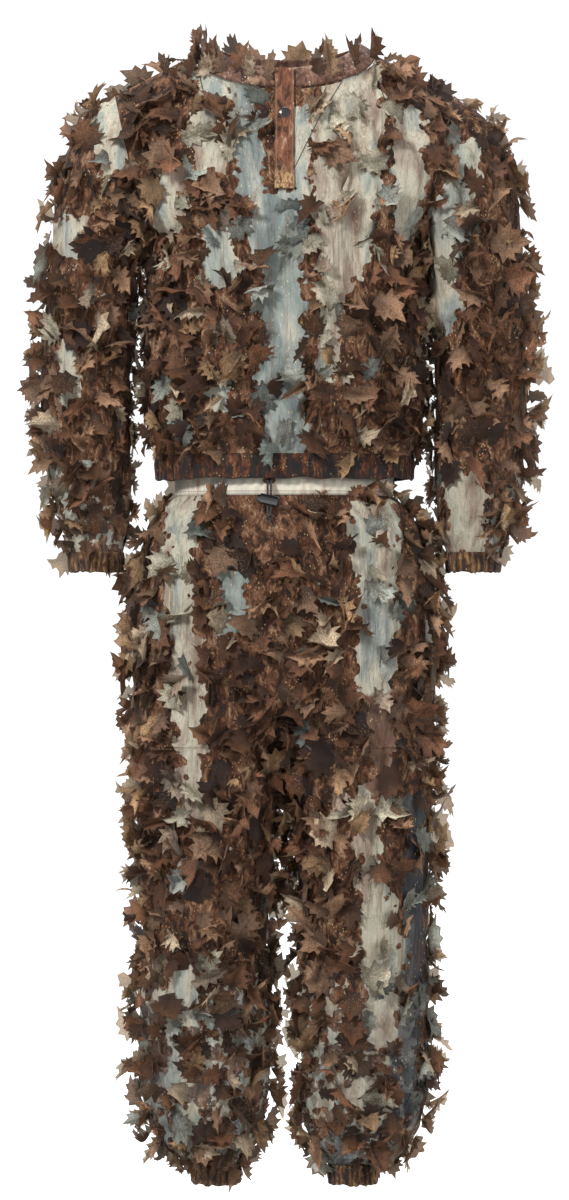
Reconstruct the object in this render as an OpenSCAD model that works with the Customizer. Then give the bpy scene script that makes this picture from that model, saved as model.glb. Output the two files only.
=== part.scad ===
// Two-piece leafy camouflage suit: a pullover jacket and drawcord trousers, standing as if worn.
// The origin is the middle of the neck opening, +Z is up and the wearer faces -Y.

/* [Jacket] */
// Half of the width across the shoulder points
shoulder_x = 236; // [215:1:250]
// Height of the shoulder points
shoulder_z = -36; // [-50:1:-25]
// Half of the chest width at the bottom of the armholes
pit_x = 192; // [180:1:200]
// Height of the bottom of the armholes
pit_z = -236; // [-250:1:-225]
// Largest half depth of the armholes
armhole_d = 70; // [60:1:76]
// Half of the width of the neckband's inner edge
neck_inner_x = 104; // [95:1:110]
// Half of the width of the neckband's outer edge
neck_outer_x = 128; // [122:1:134]
// Half of the width of the gathered hem
hem_x = 180; // [174:1:184]
// Half of the depth of the gathered hem
hem_y = 108; // [104:1:112]
// Top of the hem band, where the panels are sewn on
hem_top_z = -540; // [-545:1:-535]
// Height of the hem band, of the cuffs' bands and of the ankle bands
band_h = 30; // [24:1:34]

/* [Placket] */
// Width of the placket's strips
placket_w = 27; // [24:1:30]
// Length of the placket
placket_l = 172; // [150:1:180]
// Half of the width of the neck slit under the placket
slit_x = 8; // [7:0.5:9]
// Distance of the snap from the top of the placket
snap_down = 64; // [50:1:90]

/* [Trousers] */
// Half of the width of the gathered waist
waist_x = 152; // [146:1:158]
// Half of the depth of the gathered waist
waist_y = 94; // [90:1:96]
// Bottom of the waistband, where the panels are sewn on
waist_z = -597; // [-599:1:-595]
// Height of the waistband
waist_h = 46; // [44:1:48]
// Height of the crotch
crotch_z = -945; // [-950:1:-940]
// Height of the knee joint
knee_z = -1245; // [-1255:1:-1235]
// Height where the ankle bands begin
ankle_z = -1530; // [-1535:1:-1525]

/* [Fabric] */
// Thickness of the panels
cloth_t = 2; // [1.6:0.1:2.2]
// Thickness of the folded bands
band_t = 1.2; // [1:0.1:1.4]
// Clearance between panels that are sewn edge to edge
seam_gap = 0.8; // [0.7:0.1:1.2]
// Length of a sewn-on leaf
leaf_l = 50; // [42:1:54]

/* [Drawcord] */
// Diameter of the drawcord
cord_d = 3; // [2.5:0.1:3.2]
// Length of the cord lock's barrel
lock_l = 27; // [25:1:29]
// Diameter of the cord lock's barrel
lock_d = 15; // [14:0.5:16]
// Tilt of the cord lock
lock_tilt = 12; // [8:1:16]

/* [Hidden] */

$fn = 48;
BARK = "#5a3d2c";
DARK_BARK = "#3e2a1e";
RUST_BARK = "#7b3f28";
CREAM = "#d8d4c2";
BLACK = "#151515";

// Clearance between the loose pieces inside a band, and half of that beside a joint's plane
loose = 0.4;
joint_gap = 0.6;

// ---------------------------------------------------------------- small helpers

function lerp(a, b, t) = a + (b - a) * t;
function unit(v) = v / max(norm(v), 0.000001);
function clamp01(v) = min(max(v, 0), 1);
// A number from 0 to 1 that looks random and is always the same for one k
function wobble(k) = let (v = sin(k * 78.233) * 437.585) v - floor(v);

// ---------------------------------------------------------------- sheets
// A sheet is a grid of points [row][column] on its outer face and a thickness inwards. Seen from
// outside, the rows go down and the columns go to the right. holes lists grid cells to leave open, and
// half keeps the inner face on one side of the middle plane: -1 in front of it and 1 behind it.

function grid_point(P, i, j, wrap) =
    let (n = len(P[0]))
    P[min(max(i, 0), len(P) - 1)][wrap ? (j + n) % n : min(max(j, 0), n - 1)];

function grid_normal(P, i, j, wrap) = unit(cross(
    grid_point(P, i + 1, j, wrap) - grid_point(P, i - 1, j, wrap),
    grid_point(P, i, j + 1, wrap) - grid_point(P, i, j - 1, wrap)));

function keep_half(p, half) = half == 0 ? p : [p.x, half * max(half * p.y, seam_gap / 2), p.z];

module sheet(P, thickness, wrap = false, holes = [], half = 0) {
    rows = len(P) - 1;
    n = len(P[0]);
    cols = wrap ? n : n - 1;
    count = len(P) * n;
    inner = [for (i = [0:rows]) for (j = [0:n - 1])
        keep_half(P[i][j] - thickness * grid_normal(P, i, j, wrap), half)];
    outer = [for (i = [0:rows]) for (j = [0:n - 1]) P[i][j]];
    function at(i, j, side) = side * count + i * n + j % n;
    function cell(i, j) =
        let (k = wrap ? (j + n) % n : j)
        i >= 0 && i < rows && k >= 0 && k < cols && len([for (h = holes) if (h == [i, k]) 1]) == 0;
    function quad(a, b, c, d) = [[a, b, c], [a, c, d]];
    faces = [for (i = [0:rows - 1]) for (j = [0:cols - 1]) if (cell(i, j)) each concat(
        quad(at(i, j, 0), at(i, j + 1, 0), at(i + 1, j + 1, 0), at(i + 1, j, 0)),
        quad(at(i + 1, j, 1), at(i + 1, j + 1, 1), at(i, j + 1, 1), at(i, j, 1)),
        cell(i - 1, j) ? [] : quad(at(i, j + 1, 0), at(i, j, 0), at(i, j, 1), at(i, j + 1, 1)),
        cell(i + 1, j) ? [] : quad(at(i + 1, j, 0), at(i + 1, j + 1, 0), at(i + 1, j + 1, 1), at(i + 1, j, 1)),
        cell(i, j + 1) ? [] : quad(at(i + 1, j + 1, 0), at(i, j + 1, 0), at(i, j + 1, 1), at(i + 1, j + 1, 1)),
        cell(i, j - 1) ? [] : quad(at(i, j, 0), at(i + 1, j, 0), at(i + 1, j, 1), at(i, j, 1)))];
    polyhedron(points = concat(outer, inner), faces = faces);
}

// A round cord along a route of points. ref is a direction that the route never runs along.
module cord_tube(route, r, ref, sides = 8) {
    last = len(route) - 1;
    function heading(i) = unit(route[min(i + 1, last)] - route[max(i - 1, 0)]);
    points = [for (i = [0:last])
        let (t = heading(i), u = unit(cross(t, ref)), v = cross(t, u))
        for (k = [0:sides - 1]) route[i] + r * (cos(360 * k / sides) * u + sin(360 * k / sides) * v)];
    walls = [for (i = [0:last - 1]) for (k = [0:sides - 1])
        let (a = i * sides + k, b = i * sides + (k + 1) % sides)
        each [[a, a + sides, b + sides], [a, b + sides, b]]];
    caps = [[for (k = [0:sides - 1]) k], [for (k = [sides - 1:-1:0]) last * sides + k]];
    polyhedron(points = points, faces = concat(walls, caps));
}

// ---------------------------------------------------------------- leaves

leaf_t = 1;
lobe_r = [0.60, 0.80, 0.92, 1.12, 0.92, 0.80, 0.60];
lobe_step = 44;
notch_r = 0.44;

// A lobed leaf on the XY plane: its stem end is at the origin and its tip points along +Y
module leaf(size) {
    r = size / 2;
    half = (len(lobe_r) - 1) / 2;
    outline = concat(
        [for (k = [0:len(lobe_r) - 1]) each [
            [sin((k - half) * lobe_step) * r * lobe_r[k], cos((k - half) * lobe_step) * r * lobe_r[k]],
            if (k < len(lobe_r) - 1)
                [sin((k - half + 0.5) * lobe_step) * r * notch_r, cos((k - half + 0.5) * lobe_step) * r * notch_r]
        ]],
        [[1.5, -r * 0.35], [1.5, -r * 0.88], [-1.5, -r * 0.88], [-1.5, -r * 0.35]]);
    translate([0, r * 0.88, 0]) linear_extrude(leaf_t) polygon(outline);
}

// A leaf sewn on a surface at p: spin turns it about the surface's normal n, and lean lifts its tip
module leaf_on(p, n, spin, lean, size = leaf_l) {
    translate(p + 1.2 * n)
        rotate([0, 0, atan2(n.x, -n.y)])
            rotate([90 - asin(n.z), 0, 0])
                rotate([0, 0, spin])
                    rotate([lean, 0, 0])
                        leaf(size);
}

// ---------------------------------------------------------------- jacket body

neck_z = 20;
neck_seam = 3;
shoulder_slope = (shoulder_z - neck_z) / (shoulder_x - neck_outer_x);
shoulder_round = 110;
chest_power = 2.4;
side_half = [[-574, hem_x], [-540, hem_x - 1], [-515, 189], [-470, 196], [-400, 196], [-320, 194],
    [pit_z, pit_x], [shoulder_z, shoulder_x], [200, shoulder_x]];
front_depth = [[-574, hem_y], [-540, hem_y - 1], [-510, 116], [-400, 121], [-230, 120], [0, 78], [80, 63]];
back_depth = [[-574, hem_y], [-540, hem_y - 1], [-510, 113], [-400, 115], [-160, 118], [0, 88], [80, 70]];
arm_rows = 8;
low_rows = 6;
half_cols = 8;

function shoulder_line(x) = neck_z + shoulder_slope * (abs(x) - neck_outer_x);
// Neckline curve of half width a between its lowest point and its sides
function scoop(x, a, dip_z, side_z) = side_z - (side_z - dip_z) * sqrt(max(1 - pow(x / a, 2), 0));
function armhole_half(z) =
    let (f = clamp01((shoulder_z - z) / (shoulder_z - pit_z)))
    armhole_d * sqrt(4 * f * (1 - f));
function torso_depth(x, z, depths) =
    let (
        v = clamp01((shoulder_line(x) - z) / shoulder_round),
        full = lookup(z, depths) * sqrt(1 - pow(1 - v, 2)),
        u = clamp01(abs(x) / lookup(z, side_half)),
        arm = armhole_half(z)
    )
    arm + (full - arm) * sqrt(1 - pow(u, chest_power));
// Point of the body at column s from -1 to 1 and height z; front is -1 and back is 1
function torso_point(s, z, face) =
    let (x = s * lookup(z, side_half))
    [x, face * (seam_gap / 2 + torso_depth(x, z, face < 0 ? front_depth : back_depth)), z];

function panel_top(s, dip_z) =
    let (x = s * shoulder_x)
    abs(x) < neck_outer_x ? scoop(x, neck_outer_x, dip_z, neck_z) - neck_seam : shoulder_line(x) - seam_gap / 2;
function row_z(i, top) =
    i <= arm_rows
        ? lerp(top, pit_z, (1 - cos(180 * i / arm_rows)) / 2)
        : lerp(pit_z, hem_top_z + seam_gap, (i - arm_rows) / low_rows);
columns = [for (k = [-half_cols:half_cols]) each k == 0
    ? [-slit_x / shoulder_x, slit_x / shoulder_x]
    : [sin(90 * k / half_cols)]];
// The armhole edge keeps clear of the plane in which the sleeve begins
function torso_grid(face, dip_z) = [for (i = [0:arm_rows + low_rows]) [for (c = columns)
    let (s = -face * c, p = torso_point(s, row_z(i, panel_top(s, dip_z)), face))
    p - (abs(s) == 1 && i <= arm_rows ? [sign(s) * joint_gap, 0, 0] : [0, 0, 0])]];

front_dip = -34;
back_dip = -4;
slit_rows = 5;

module jacket_front() color(BARK)
    sheet(torso_grid(-1, front_dip), cloth_t, holes = [for (i = [0:slit_rows - 1]) [i, half_cols]], half = -1);

module jacket_back() color(BARK)
    sheet(torso_grid(1, back_dip), cloth_t, half = 1);

// Neckband: the lower edge follows the panels' neckline and the upper edge stands up to the neck opening
collar_steps = 36;
collar_gap = 6;
collar_inner_z = [-6, 38, 24];
collar_inner_y = [76, 78];
function collar_lower(a) =
    let (x = neck_outer_x * sin(a), front = cos(a) > 0)
    let (z = scoop(x, neck_outer_x, front ? front_dip : back_dip, neck_z) + seam_gap / 2)
    [x, (front ? -1 : 1) * (seam_gap / 2 + torso_depth(x, z, front ? front_depth : back_depth)), z];
function collar_upper(a) =
    let (front = cos(a) > 0)
    [neck_inner_x * sin(a), -cos(a) * (front ? collar_inner_y[0] : collar_inner_y[1]),
        lerp(collar_inner_z[1], front ? collar_inner_z[0] : collar_inner_z[2], pow(abs(cos(a)), 1.3))];

module neckband() color(DARK_BARK)
    sheet([for (side = [0, 1]) [for (k = [0:collar_steps])
        let (a = lerp(collar_gap, 360 - collar_gap, k / collar_steps))
        side == 0 ? collar_upper(a) : collar_lower(a)]], cloth_t);

// ---------------------------------------------------------------- gathered bands
// A band is a strip folded over its elastic: the fold is at the top or at the bottom.

hem_fold = 5;
function oval(cx, a, b, z, steps) =
    [for (k = [0:steps - 1]) [cx + a * cos(360 * k / steps), b * sin(360 * k / steps), z]];

module folded_band(cx, a, b, z_low, z_high, fold, steps, fold_at_top) {
    z_open = fold_at_top ? z_low : z_high;
    z_fold = fold_at_top ? z_high : z_low;
    outer = [[0, z_open], [0, z_fold]];
    inner = [[fold, z_fold], [fold, z_open]];
    order = fold_at_top ? [inner[1], inner[0], outer[1], outer[0]] : concat(outer, inner);
    sheet([for (e = order) oval(cx, a - e[0], b - e[0], e[1], steps)], band_t, wrap = true);
}

module elastic_ring(cx, a, b, z_low, z_high, steps) {
    sheet([for (z = [z_high, z_low]) oval(cx, a, b, z, steps)], elastic_t, wrap = true);
}

elastic_t = 1.3;
elastic_in = band_t + loose;
hem_steps = 40;
hem_low_z = hem_top_z - band_h - 4;

module hem_band() color(RUST_BARK)
    folded_band(0, hem_x, hem_y, hem_low_z, hem_top_z, hem_fold, hem_steps, false);
module hem_elastic() color(CREAM)
    elastic_ring(0, hem_x - elastic_in, hem_y - elastic_in, hem_low_z + 4, hem_top_z - 4, hem_steps);

// ---------------------------------------------------------------- placket and snap
// The placket lies on a flat stretch of the chest: its own frame has +X across, +Y up and +Z outwards.

placket_top = [0, -(seam_gap / 2 + torso_depth(0, -8, front_depth)) - 0.8, -8];
placket_low_z = placket_top.z - placket_l;
placket_slope = atan2(torso_depth(0, placket_low_z, front_depth) - torso_depth(0, -8, front_depth), placket_l);
strip_t = 1;
under_w = 0.4;
flap_w = 3.5;
stud_r = 2;
socket_r = 5.5;

module on_placket() translate(placket_top) rotate([90 - placket_slope, 0, 0]) children();

module strip(w) translate([-placket_w / 2, -placket_l, w]) difference() {
    cube([placket_w, placket_l, strip_t]);
    translate([placket_w / 2, placket_l - snap_down, -1]) cylinder(r = stud_r, h = strip_t + 2);
}

module at_snap(w) on_placket() translate([0, -snap_down, w]) children();

module under_placket() color(DARK_BARK) on_placket() strip(under_w);
module placket() color(RUST_BARK) on_placket() strip(flap_w);

// The post's disc lies in the slit, and its shank goes through the under placket into the stud
module snap_post() color(BLACK) at_snap(0) rotate_extrude()
    polygon([[0, -0.8], [5, -0.8], [5, 0.3], [1.7, 0.3], [1.7, 1.9], [0, 1.9]]);
module snap_stud() color(BLACK) at_snap(1.5) rotate_extrude()
    polygon([[1.75, 0], [socket_r, 0], [socket_r, 0.5], [2.3, 0.5], [2.3, 1.2], [1.9, 1.4], [0, 1.4], [0, 0.5],
        [1.75, 0.5]]);
module snap_socket() color(BLACK) at_snap(2.2) rotate_extrude()
    polygon([[2.7, 0], [socket_r, 0], [socket_r, 1.2], [1.75, 1.2], [1.75, 0.9], [2.7, 0.9]]);
module snap_cap() color(BLACK) at_snap(flap_w) rotate_extrude()
    polygon([[0, -0.35], [1.7, -0.35], [1.7, strip_t + 0.1], [7.3, strip_t + 0.1], [7.5, strip_t + 0.5],
        [6.6, strip_t + 1.1], [4.5, strip_t + 1.6], [0, strip_t + 1.8]]);

// ---------------------------------------------------------------- sleeves
// Stations of the right sleeve: inner edge x and z, outer edge x and z, half depth

upper_sleeve_stations = [
    [pit_x + 1, pit_z - 1, shoulder_x + 1, shoulder_z, armhole_d],
    [197, -253, 280, -64, 74],
    [200, -272, 308, -116, 76],
    [203, -294, 324, -190, 74],
    [205, -320, 332, -270, 70],
    [207, -347, 335, -336, 67],
    [208, -370, 337, -370, 65]
];
elbow_z = -370;
cuff_z = -676;
lower_sleeve_stations = [
    [208, elbow_z - joint_gap, 337, elbow_z - joint_gap, 65],
    [211, -430, 339, -430, 64],
    [213, -500, 338, -500, 62],
    [214, -560, 334, -560, 58],
    [216, -610, 326, -610, 53],
    [220, -650, 314, -650, 46],
    [226, cuff_z + seam_gap, 302, cuff_z + seam_gap, 39]
];
sleeve_steps = 20;
cuff_cx = 264;
cuff_a = 38;
cuff_b = 39;
cuff_fold = 4.6;

function station_point(t, a) = [
    lerp(t[0], t[2], (1 + cos(a)) / 2), t[4] * sin(a), lerp(t[1], t[3], (1 + cos(a)) / 2)];
// Point at station v, which may lie between two stations, and angle a from the outer edge
function along_stations(S, v, a) =
    let (k = min(floor(v), len(S) - 2))
    lerp(station_point(S[k], a), station_point(S[k + 1], a), v - k);
function station_normal(S, v, a) = unit(cross(
    along_stations(S, min(v + 0.2, len(S) - 1), a) - along_stations(S, max(v - 0.2, 0), a),
    along_stations(S, v, a + 3) - along_stations(S, v, a - 3)));

module station_tube(S) sheet(
    [for (t = S) [for (k = [0:sleeve_steps - 1]) station_point(t, 360 * k / sleeve_steps)]],
    cloth_t, wrap = true);

// Leaves at the stations and angles given, in turn pointing down and up
module station_leaves(S, spots, seed) {
    for (k = [0:len(spots) - 1])
        leaf_on(along_stations(S, spots[k][0], spots[k][1]), station_normal(S, spots[k][0], spots[k][1]),
            (spots[k][2] == 0 ? 180 : 0) + 50 * (wobble(seed + k) - 0.5), 18 + 10 * wobble(seed + k + 50));
}

// Columns of leaves at the angles given: their stations, and 0 or 1 for a tip that points down or up
function spots(angles, stations) = [for (k = [0:len(angles) - 1]) for (m = [0:len(stations) - 1])
    [stations[m][0] + 0.12 * (wobble(7 * k + m) - 0.5), angles[k] + 8 * (wobble(11 * k + m) - 0.5), stations[m][1]]];

upper_sleeve_angles = [-100, -50, 0, 50, 100];
lower_sleeve_angles = [-110, -55, 0, 55, 110];

module right_upper_sleeve() color(BARK) station_tube(upper_sleeve_stations);
module right_upper_sleeve_leaves() color(DARK_BARK) station_leaves(upper_sleeve_stations,
    spots(upper_sleeve_angles, [[1.6, 1], [3.1, 1], [4.9, 1]]), 1);
module right_lower_sleeve() color(BARK) station_tube(lower_sleeve_stations);
module right_lower_sleeve_leaves() color(DARK_BARK) station_leaves(lower_sleeve_stations,
    spots(lower_sleeve_angles, [[0.5, 0], [2.1, 0], [3.4, 0], [4.9, 0]]), 2);
module right_cuff_band() color(RUST_BARK) translate([cuff_cx, 0, 0])
    folded_band(0, cuff_a, cuff_b, cuff_z - band_h + 3, cuff_z, cuff_fold, sleeve_steps, false);
module right_cuff_elastic() color(CREAM) translate([cuff_cx, 0, 0])
    elastic_ring(0, cuff_a - elastic_in, cuff_b - elastic_in, cuff_z - band_h + 7, cuff_z - 4, sleeve_steps);

module left_upper_sleeve() mirror([1, 0, 0]) right_upper_sleeve();
module left_upper_sleeve_leaves() mirror([1, 0, 0]) right_upper_sleeve_leaves();
module left_lower_sleeve() mirror([1, 0, 0]) right_lower_sleeve();
module left_lower_sleeve_leaves() mirror([1, 0, 0]) right_lower_sleeve_leaves();
module left_cuff_band() mirror([1, 0, 0]) right_cuff_band();
module left_cuff_elastic() mirror([1, 0, 0]) right_cuff_elastic();

// ---------------------------------------------------------------- jacket leaves

// Leaves over a body panel: rows of columns s, at heights z
module torso_leaves(face, rows, cols, seed) {
    for (i = [0:len(rows) - 1]) for (j = [0:len(cols) - 1]) {
        s = -face * (cols[j] + 0.05 * (wobble(seed + 9 * i + j) - 0.5));
        z = rows[i] + 12 * (wobble(seed + 5 * i + 3 * j) - 0.5);
        p = torso_point(s, z, face);
        n = unit(cross(torso_point(s, z - 4, face) - torso_point(s, z + 4, face),
            torso_point(s - face * 0.02, z, face) - torso_point(s + face * 0.02, z, face)));
        leaf_on(p, n, 180 + 50 * (wobble(seed + i + 7 * j) - 0.5), 16 + 8 * wobble(seed + 3 * i + j));
    }
}

leaf_columns = [-0.78, -0.48, -0.2, 0.2, 0.48, 0.78];
module jacket_front_leaves() color(DARK_BARK)
    torso_leaves(-1, [-95, -205, -315, -430], [-0.78, -0.5, -0.22, 0.22, 0.5, 0.78], 3);
module jacket_back_leaves() color(DARK_BARK)
    torso_leaves(1, [-95, -205, -315, -430], [-0.78, -0.5, -0.2, 0.1, 0.4, 0.72], 4);

// Leaves that stand up from the neckband
module neckband_leaves() color(DARK_BARK) for (a = [70, 138, 180, 222, 290]) {
    p = lerp(collar_lower(a), collar_upper(a), 0.6);
    leaf_on(p + [0, 0, 2], unit([sin(a), -cos(a), 0]), 0, 6, leaf_l + 10);
}

// ---------------------------------------------------------------- trousers seat

seat_half = [[knee_z, 206], [crotch_z, 207], [-850, 212], [-742, 213], [-680, 204], [-640, 190], [-612, 166],
    [waist_z, waist_x - 1]];
seat_depth = [[crotch_z, 105], [-850, 112], [-742, 113], [-680, 110], [-640, 104], [-612, 97],
    [waist_z, waist_y - 1]];
crotch_top = 130;
crotch_x = 3;
seat_drops = [0, 15, 40, 80, 140, 205, 245, 280, 305, 325, waist_z - crotch_z - 1.6];

// The front and the back sink to the crotch point between the legs
function seat_point(s, z, face) =
    let (
        half = lookup(z, seat_half),
        depth = lookup(z, seat_depth),
        sink = clamp01((crotch_z + crotch_top - z) / crotch_top),
        whole = sqrt(max(1 - pow(abs(s), 2.2), 0)),
        leg_half = (half - crotch_x) / 2,
        leg = sqrt(max(1 - pow((abs(s) * half - leg_half - crotch_x) / leg_half, 2), 0)),
        shape = lerp(whole, leg, 1 - sqrt(1 - sink * sink))
    )
    [s * half, face * (seam_gap / 2 + depth * shape), z];

seat_columns = [for (k = [-8:8]) let (a = abs(k) / 8) sign(k) * (a <= 0.5 ? a : 0.5 + 0.5 * sin(180 * (a - 0.5)))];
function seat_grid(face) = [for (d = seat_drops) [for (c = seat_columns)
    seat_point(-face * c, waist_z - max(d, seam_gap), face)]];

module trouser_front() color(BARK) sheet(seat_grid(-1), cloth_t, half = -1);
module trouser_back() color(BARK) sheet(seat_grid(1), cloth_t, half = 1);

module seat_leaves(face, rows, cols, seed) {
    for (i = [0:len(rows) - 1]) for (j = [0:len(cols) - 1]) {
        s = -face * (cols[j] + 0.04 * (wobble(seed + 9 * i + j) - 0.5));
        z = rows[i] + 12 * (wobble(seed + 5 * i + 3 * j) - 0.5);
        n = unit(cross(seat_point(s, z - 4, face) - seat_point(s, z + 4, face),
            seat_point(s - face * 0.02, z, face) - seat_point(s + face * 0.02, z, face)));
        leaf_on(seat_point(s, z, face), n, 180 + 50 * (wobble(seed + i + 7 * j) - 0.5), 15 + 8 * wobble(seed + i + j));
    }
}

module trouser_front_leaves() color(DARK_BARK) seat_leaves(-1, [-655, -745, -835], [-0.8, -0.5, 0.22, 0.5, 0.8], 5);
module trouser_back_leaves() color(DARK_BARK) seat_leaves(1, [-655, -745, -835], [-0.8, -0.5, -0.2, 0.2, 0.5, 0.8], 6);

// ---------------------------------------------------------------- waistband, elastic and drawcord

waist_fold = 9;
waist_top_z = waist_z + waist_h;
cord_z = waist_top_z - 26;
exit_x = -21;
tail_y = -113;
hole_half_x = 10;
hole_half_z = 5;

// Angles round the waist, from one edge of the buttonhole at the front to the other
hole_start = -90 + asin((exit_x + hole_half_x) / waist_x);
hole_end = 270 + asin((exit_x - hole_half_x) / waist_x);
waist_angles = concat([hole_start], [for (a = [-84:10:246]) a], [hole_end]);
function waist_round(inset, z) = [for (a = waist_angles)
    [(waist_x - inset) * cos(a), (waist_y - inset) * sin(a), z]];

module waistband() color(CREAM) sheet([
    waist_round(waist_fold, waist_z), waist_round(waist_fold, waist_top_z), waist_round(0, waist_top_z),
    waist_round(0, cord_z + hole_half_z), waist_round(0, cord_z - hole_half_z), waist_round(0, waist_z)
], band_t, wrap = true, holes = [[3, len(waist_angles) - 1]]);

waist_elastic_in = waist_fold - band_t - loose - elastic_t;
module waist_elastic() color(CREAM) sheet(
    [for (z = [waist_top_z - 4, waist_z + 5]) waist_round(waist_elastic_in, z)], elastic_t, wrap = true);

loop_in = band_t + 2 * loose + 0.1 + cord_d / 2;
loop_steps = 58;
// The loop starts and ends at the two tails, on either side of the buttonhole
function loop_point(a) = [(waist_x - loop_in) * sin(a), -(waist_y - loop_in) * cos(a), cord_z];
loop_start = asin((exit_x + 13) / (waist_x - loop_in));
loop_end = 360 + asin((exit_x - 13) / (waist_x - loop_in));

module drawcord() color(BLACK) cord_tube(
    [for (k = [0:loop_steps]) loop_point(lerp(loop_start, loop_end, k / loop_steps))], cord_d / 2, [0, 0, 1]);

// Routes of the two tails, from the loop's ends through the buttonhole and down in front of the seat
tail_right = [
    [-8, -90.3, -577], [-12, -90.6, -577], [-15, -92.4, -577], [-17.4, -96, -577.2], [-18.6, -100, -577.8],
    [-18.8, -104.5, -579.4], [-18.8, -108.5, -582], [-18.8, -111.5, -585.5], [-18.8, -113, -590],
    [-18.8, -113, -596], [-18.8, -113, -604], [-18.8, -113, -612], [-18.8, -113, -617], [-19.2, -113, -621],
    [-19.4, -113, -624]
];
tail_left = [
    [-34, -88, -577], [-30, -88.7, -577], [-27, -90.8, -577], [-24.6, -95.2, -577.2], [-23.4, -100, -577.8],
    [-23.2, -104.5, -579.4], [-23.2, -108.5, -582], [-23.2, -111.5, -585.5], [-23.2, -113, -590],
    [-23.2, -113, -596], [-23.2, -113, -604], [-23.2, -113, -612], [-23.2, -113, -617], [-22.8, -113, -621],
    [-22.6, -113, -624]
];
knot_z = -628;

module drawcord_tail_right() color(BLACK) cord_tube(tail_right, cord_d / 2, [1, -1, 1]);
module drawcord_tail_left() color(BLACK) cord_tube(tail_left, cord_d / 2, [-1, -1, 1]);
module drawcord_knot() color(BLACK) translate([exit_x, tail_y, knot_z]) rotate_extrude()
    polygon([[0, 4.4], [2.6, 4.2], [4, 2.6], [4.4, 0], [4, -2.6], [2.2, -4.8], [1.4, -8], [0, -8]]);

// ---------------------------------------------------------------- cord lock
// Its barrel lies across the two tails, and its plunger is pressed in from the left.

lock_z = -605;
bore_r = 5.4;
wall_end = 2;
plunger_r = 5.1;
press_travel = 3;
slot_r = 2.2;
press_room = 0.3;

module at_lock() translate([exit_x, tail_y, lock_z]) rotate([0, lock_tilt, 0]) rotate([0, 90, 0]) children();
// An upright slot for both tails, from x0 to x1 beside their middle
module tail_slot(x0, x1) translate([exit_x, tail_y, lock_z]) {
    for (x = [x0 + slot_r, x1 - slot_r]) translate([x, 0, -lock_d]) cylinder(r = slot_r, h = 2 * lock_d);
    translate([x0 + slot_r, -slot_r, -lock_d]) cube([x1 - x0 - 2 * slot_r, 2 * slot_r, 2 * lock_d]);
}

module lock_barrel() color(BLACK) difference() {
    at_lock() rotate_extrude() polygon([
        [bore_r, -lock_l / 2], [lock_d / 2 - 1, -lock_l / 2], [lock_d / 2, -lock_l / 2 + 1],
        [lock_d / 2, lock_l / 2 - 2], [lock_d / 2 - 2, lock_l / 2], [0, lock_l / 2],
        [0, lock_l / 2 - wall_end], [bore_r, lock_l / 2 - wall_end]]);
    tail_slot(-4.4, 4.4);
}

spring_l = 6;
plunger_end = lock_l / 2 - wall_end - spring_l;
button_out = 3.6;
module lock_button() color(BLACK) difference() {
    at_lock() rotate_extrude() polygon([
        [0, -lock_l / 2 - button_out], [plunger_r - 1, -lock_l / 2 - button_out],
        [plunger_r, -lock_l / 2 - button_out + 1], [plunger_r, plunger_end - 0.2], [0, plunger_end - 0.2]]);
    tail_slot(-4 - press_travel - press_room, 4);
}

spring_r = 4;
spring_wire = 0.6;
coils = 4;
module lock_spring() color("silver") at_lock() for (k = [0:coils - 1])
    translate([0, 0, plunger_end + 0.6 + k * (spring_l - 1.2) / (coils - 1)])
        rotate_extrude() translate([spring_r, 0]) circle(r = spring_wire / 2, $fn = 16);

// ---------------------------------------------------------------- legs
// Stations of the right leg: inner x, z, outer x, z, half depth

thigh_stations = [
    [3, crotch_z - joint_gap, 207, crotch_z - joint_gap, 104],
    [6, -985, 206, -985, 99],
    [12, -1050, 205, -1050, 92],
    [18, -1120, 203, -1120, 86],
    [22, -1190, 201, -1190, 81],
    [24, knee_z, 200, knee_z, 78]
];
shin_stations = [
    [24, knee_z - joint_gap, 200, knee_z - joint_gap, 78],
    [24, -1310, 200, -1310, 76],
    [23, -1380, 200, -1380, 73],
    [23, -1430, 198, -1430, 70],
    [28, -1475, 190, -1475, 63],
    [42, -1508, 170, -1508, 52],
    [62, ankle_z + seam_gap, 130, ankle_z + seam_gap, 34]
];
ankle_cx = 96;
ankle_a = 34;
ankle_b = 34;
leg_angles = [-130, -90, -50, -10, 50, 90, 130];

module right_thigh() color(BARK) station_tube(thigh_stations);
module right_thigh_leaves() color(DARK_BARK) station_leaves(thigh_stations,
    spots(leg_angles, [[0.6, 0], [2.1, 0], [3.6, 0]]), 7);
module right_shin() color(BARK) station_tube(shin_stations);
module right_shin_leaves() color(DARK_BARK) station_leaves(shin_stations,
    spots(leg_angles, [[0.2, 0], [1.5, 0], [3.2, 0]]), 8);
module right_ankle_band() color(RUST_BARK)
    folded_band(ankle_cx, ankle_a, ankle_b, ankle_z - band_h + 2, ankle_z, cuff_fold, sleeve_steps, false);
module right_ankle_elastic() color(CREAM)
    elastic_ring(ankle_cx, ankle_a - elastic_in, ankle_b - elastic_in, ankle_z - band_h + 6, ankle_z - 4, sleeve_steps);

module left_thigh() mirror([1, 0, 0]) right_thigh();
module left_thigh_leaves() mirror([1, 0, 0]) right_thigh_leaves();
module left_shin() mirror([1, 0, 0]) right_shin();
module left_shin_leaves() mirror([1, 0, 0]) right_shin_leaves();
module left_ankle_band() mirror([1, 0, 0]) right_ankle_band();
module left_ankle_elastic() mirror([1, 0, 0]) right_ankle_elastic();

// ---------------------------------------------------------------- nodes

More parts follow.
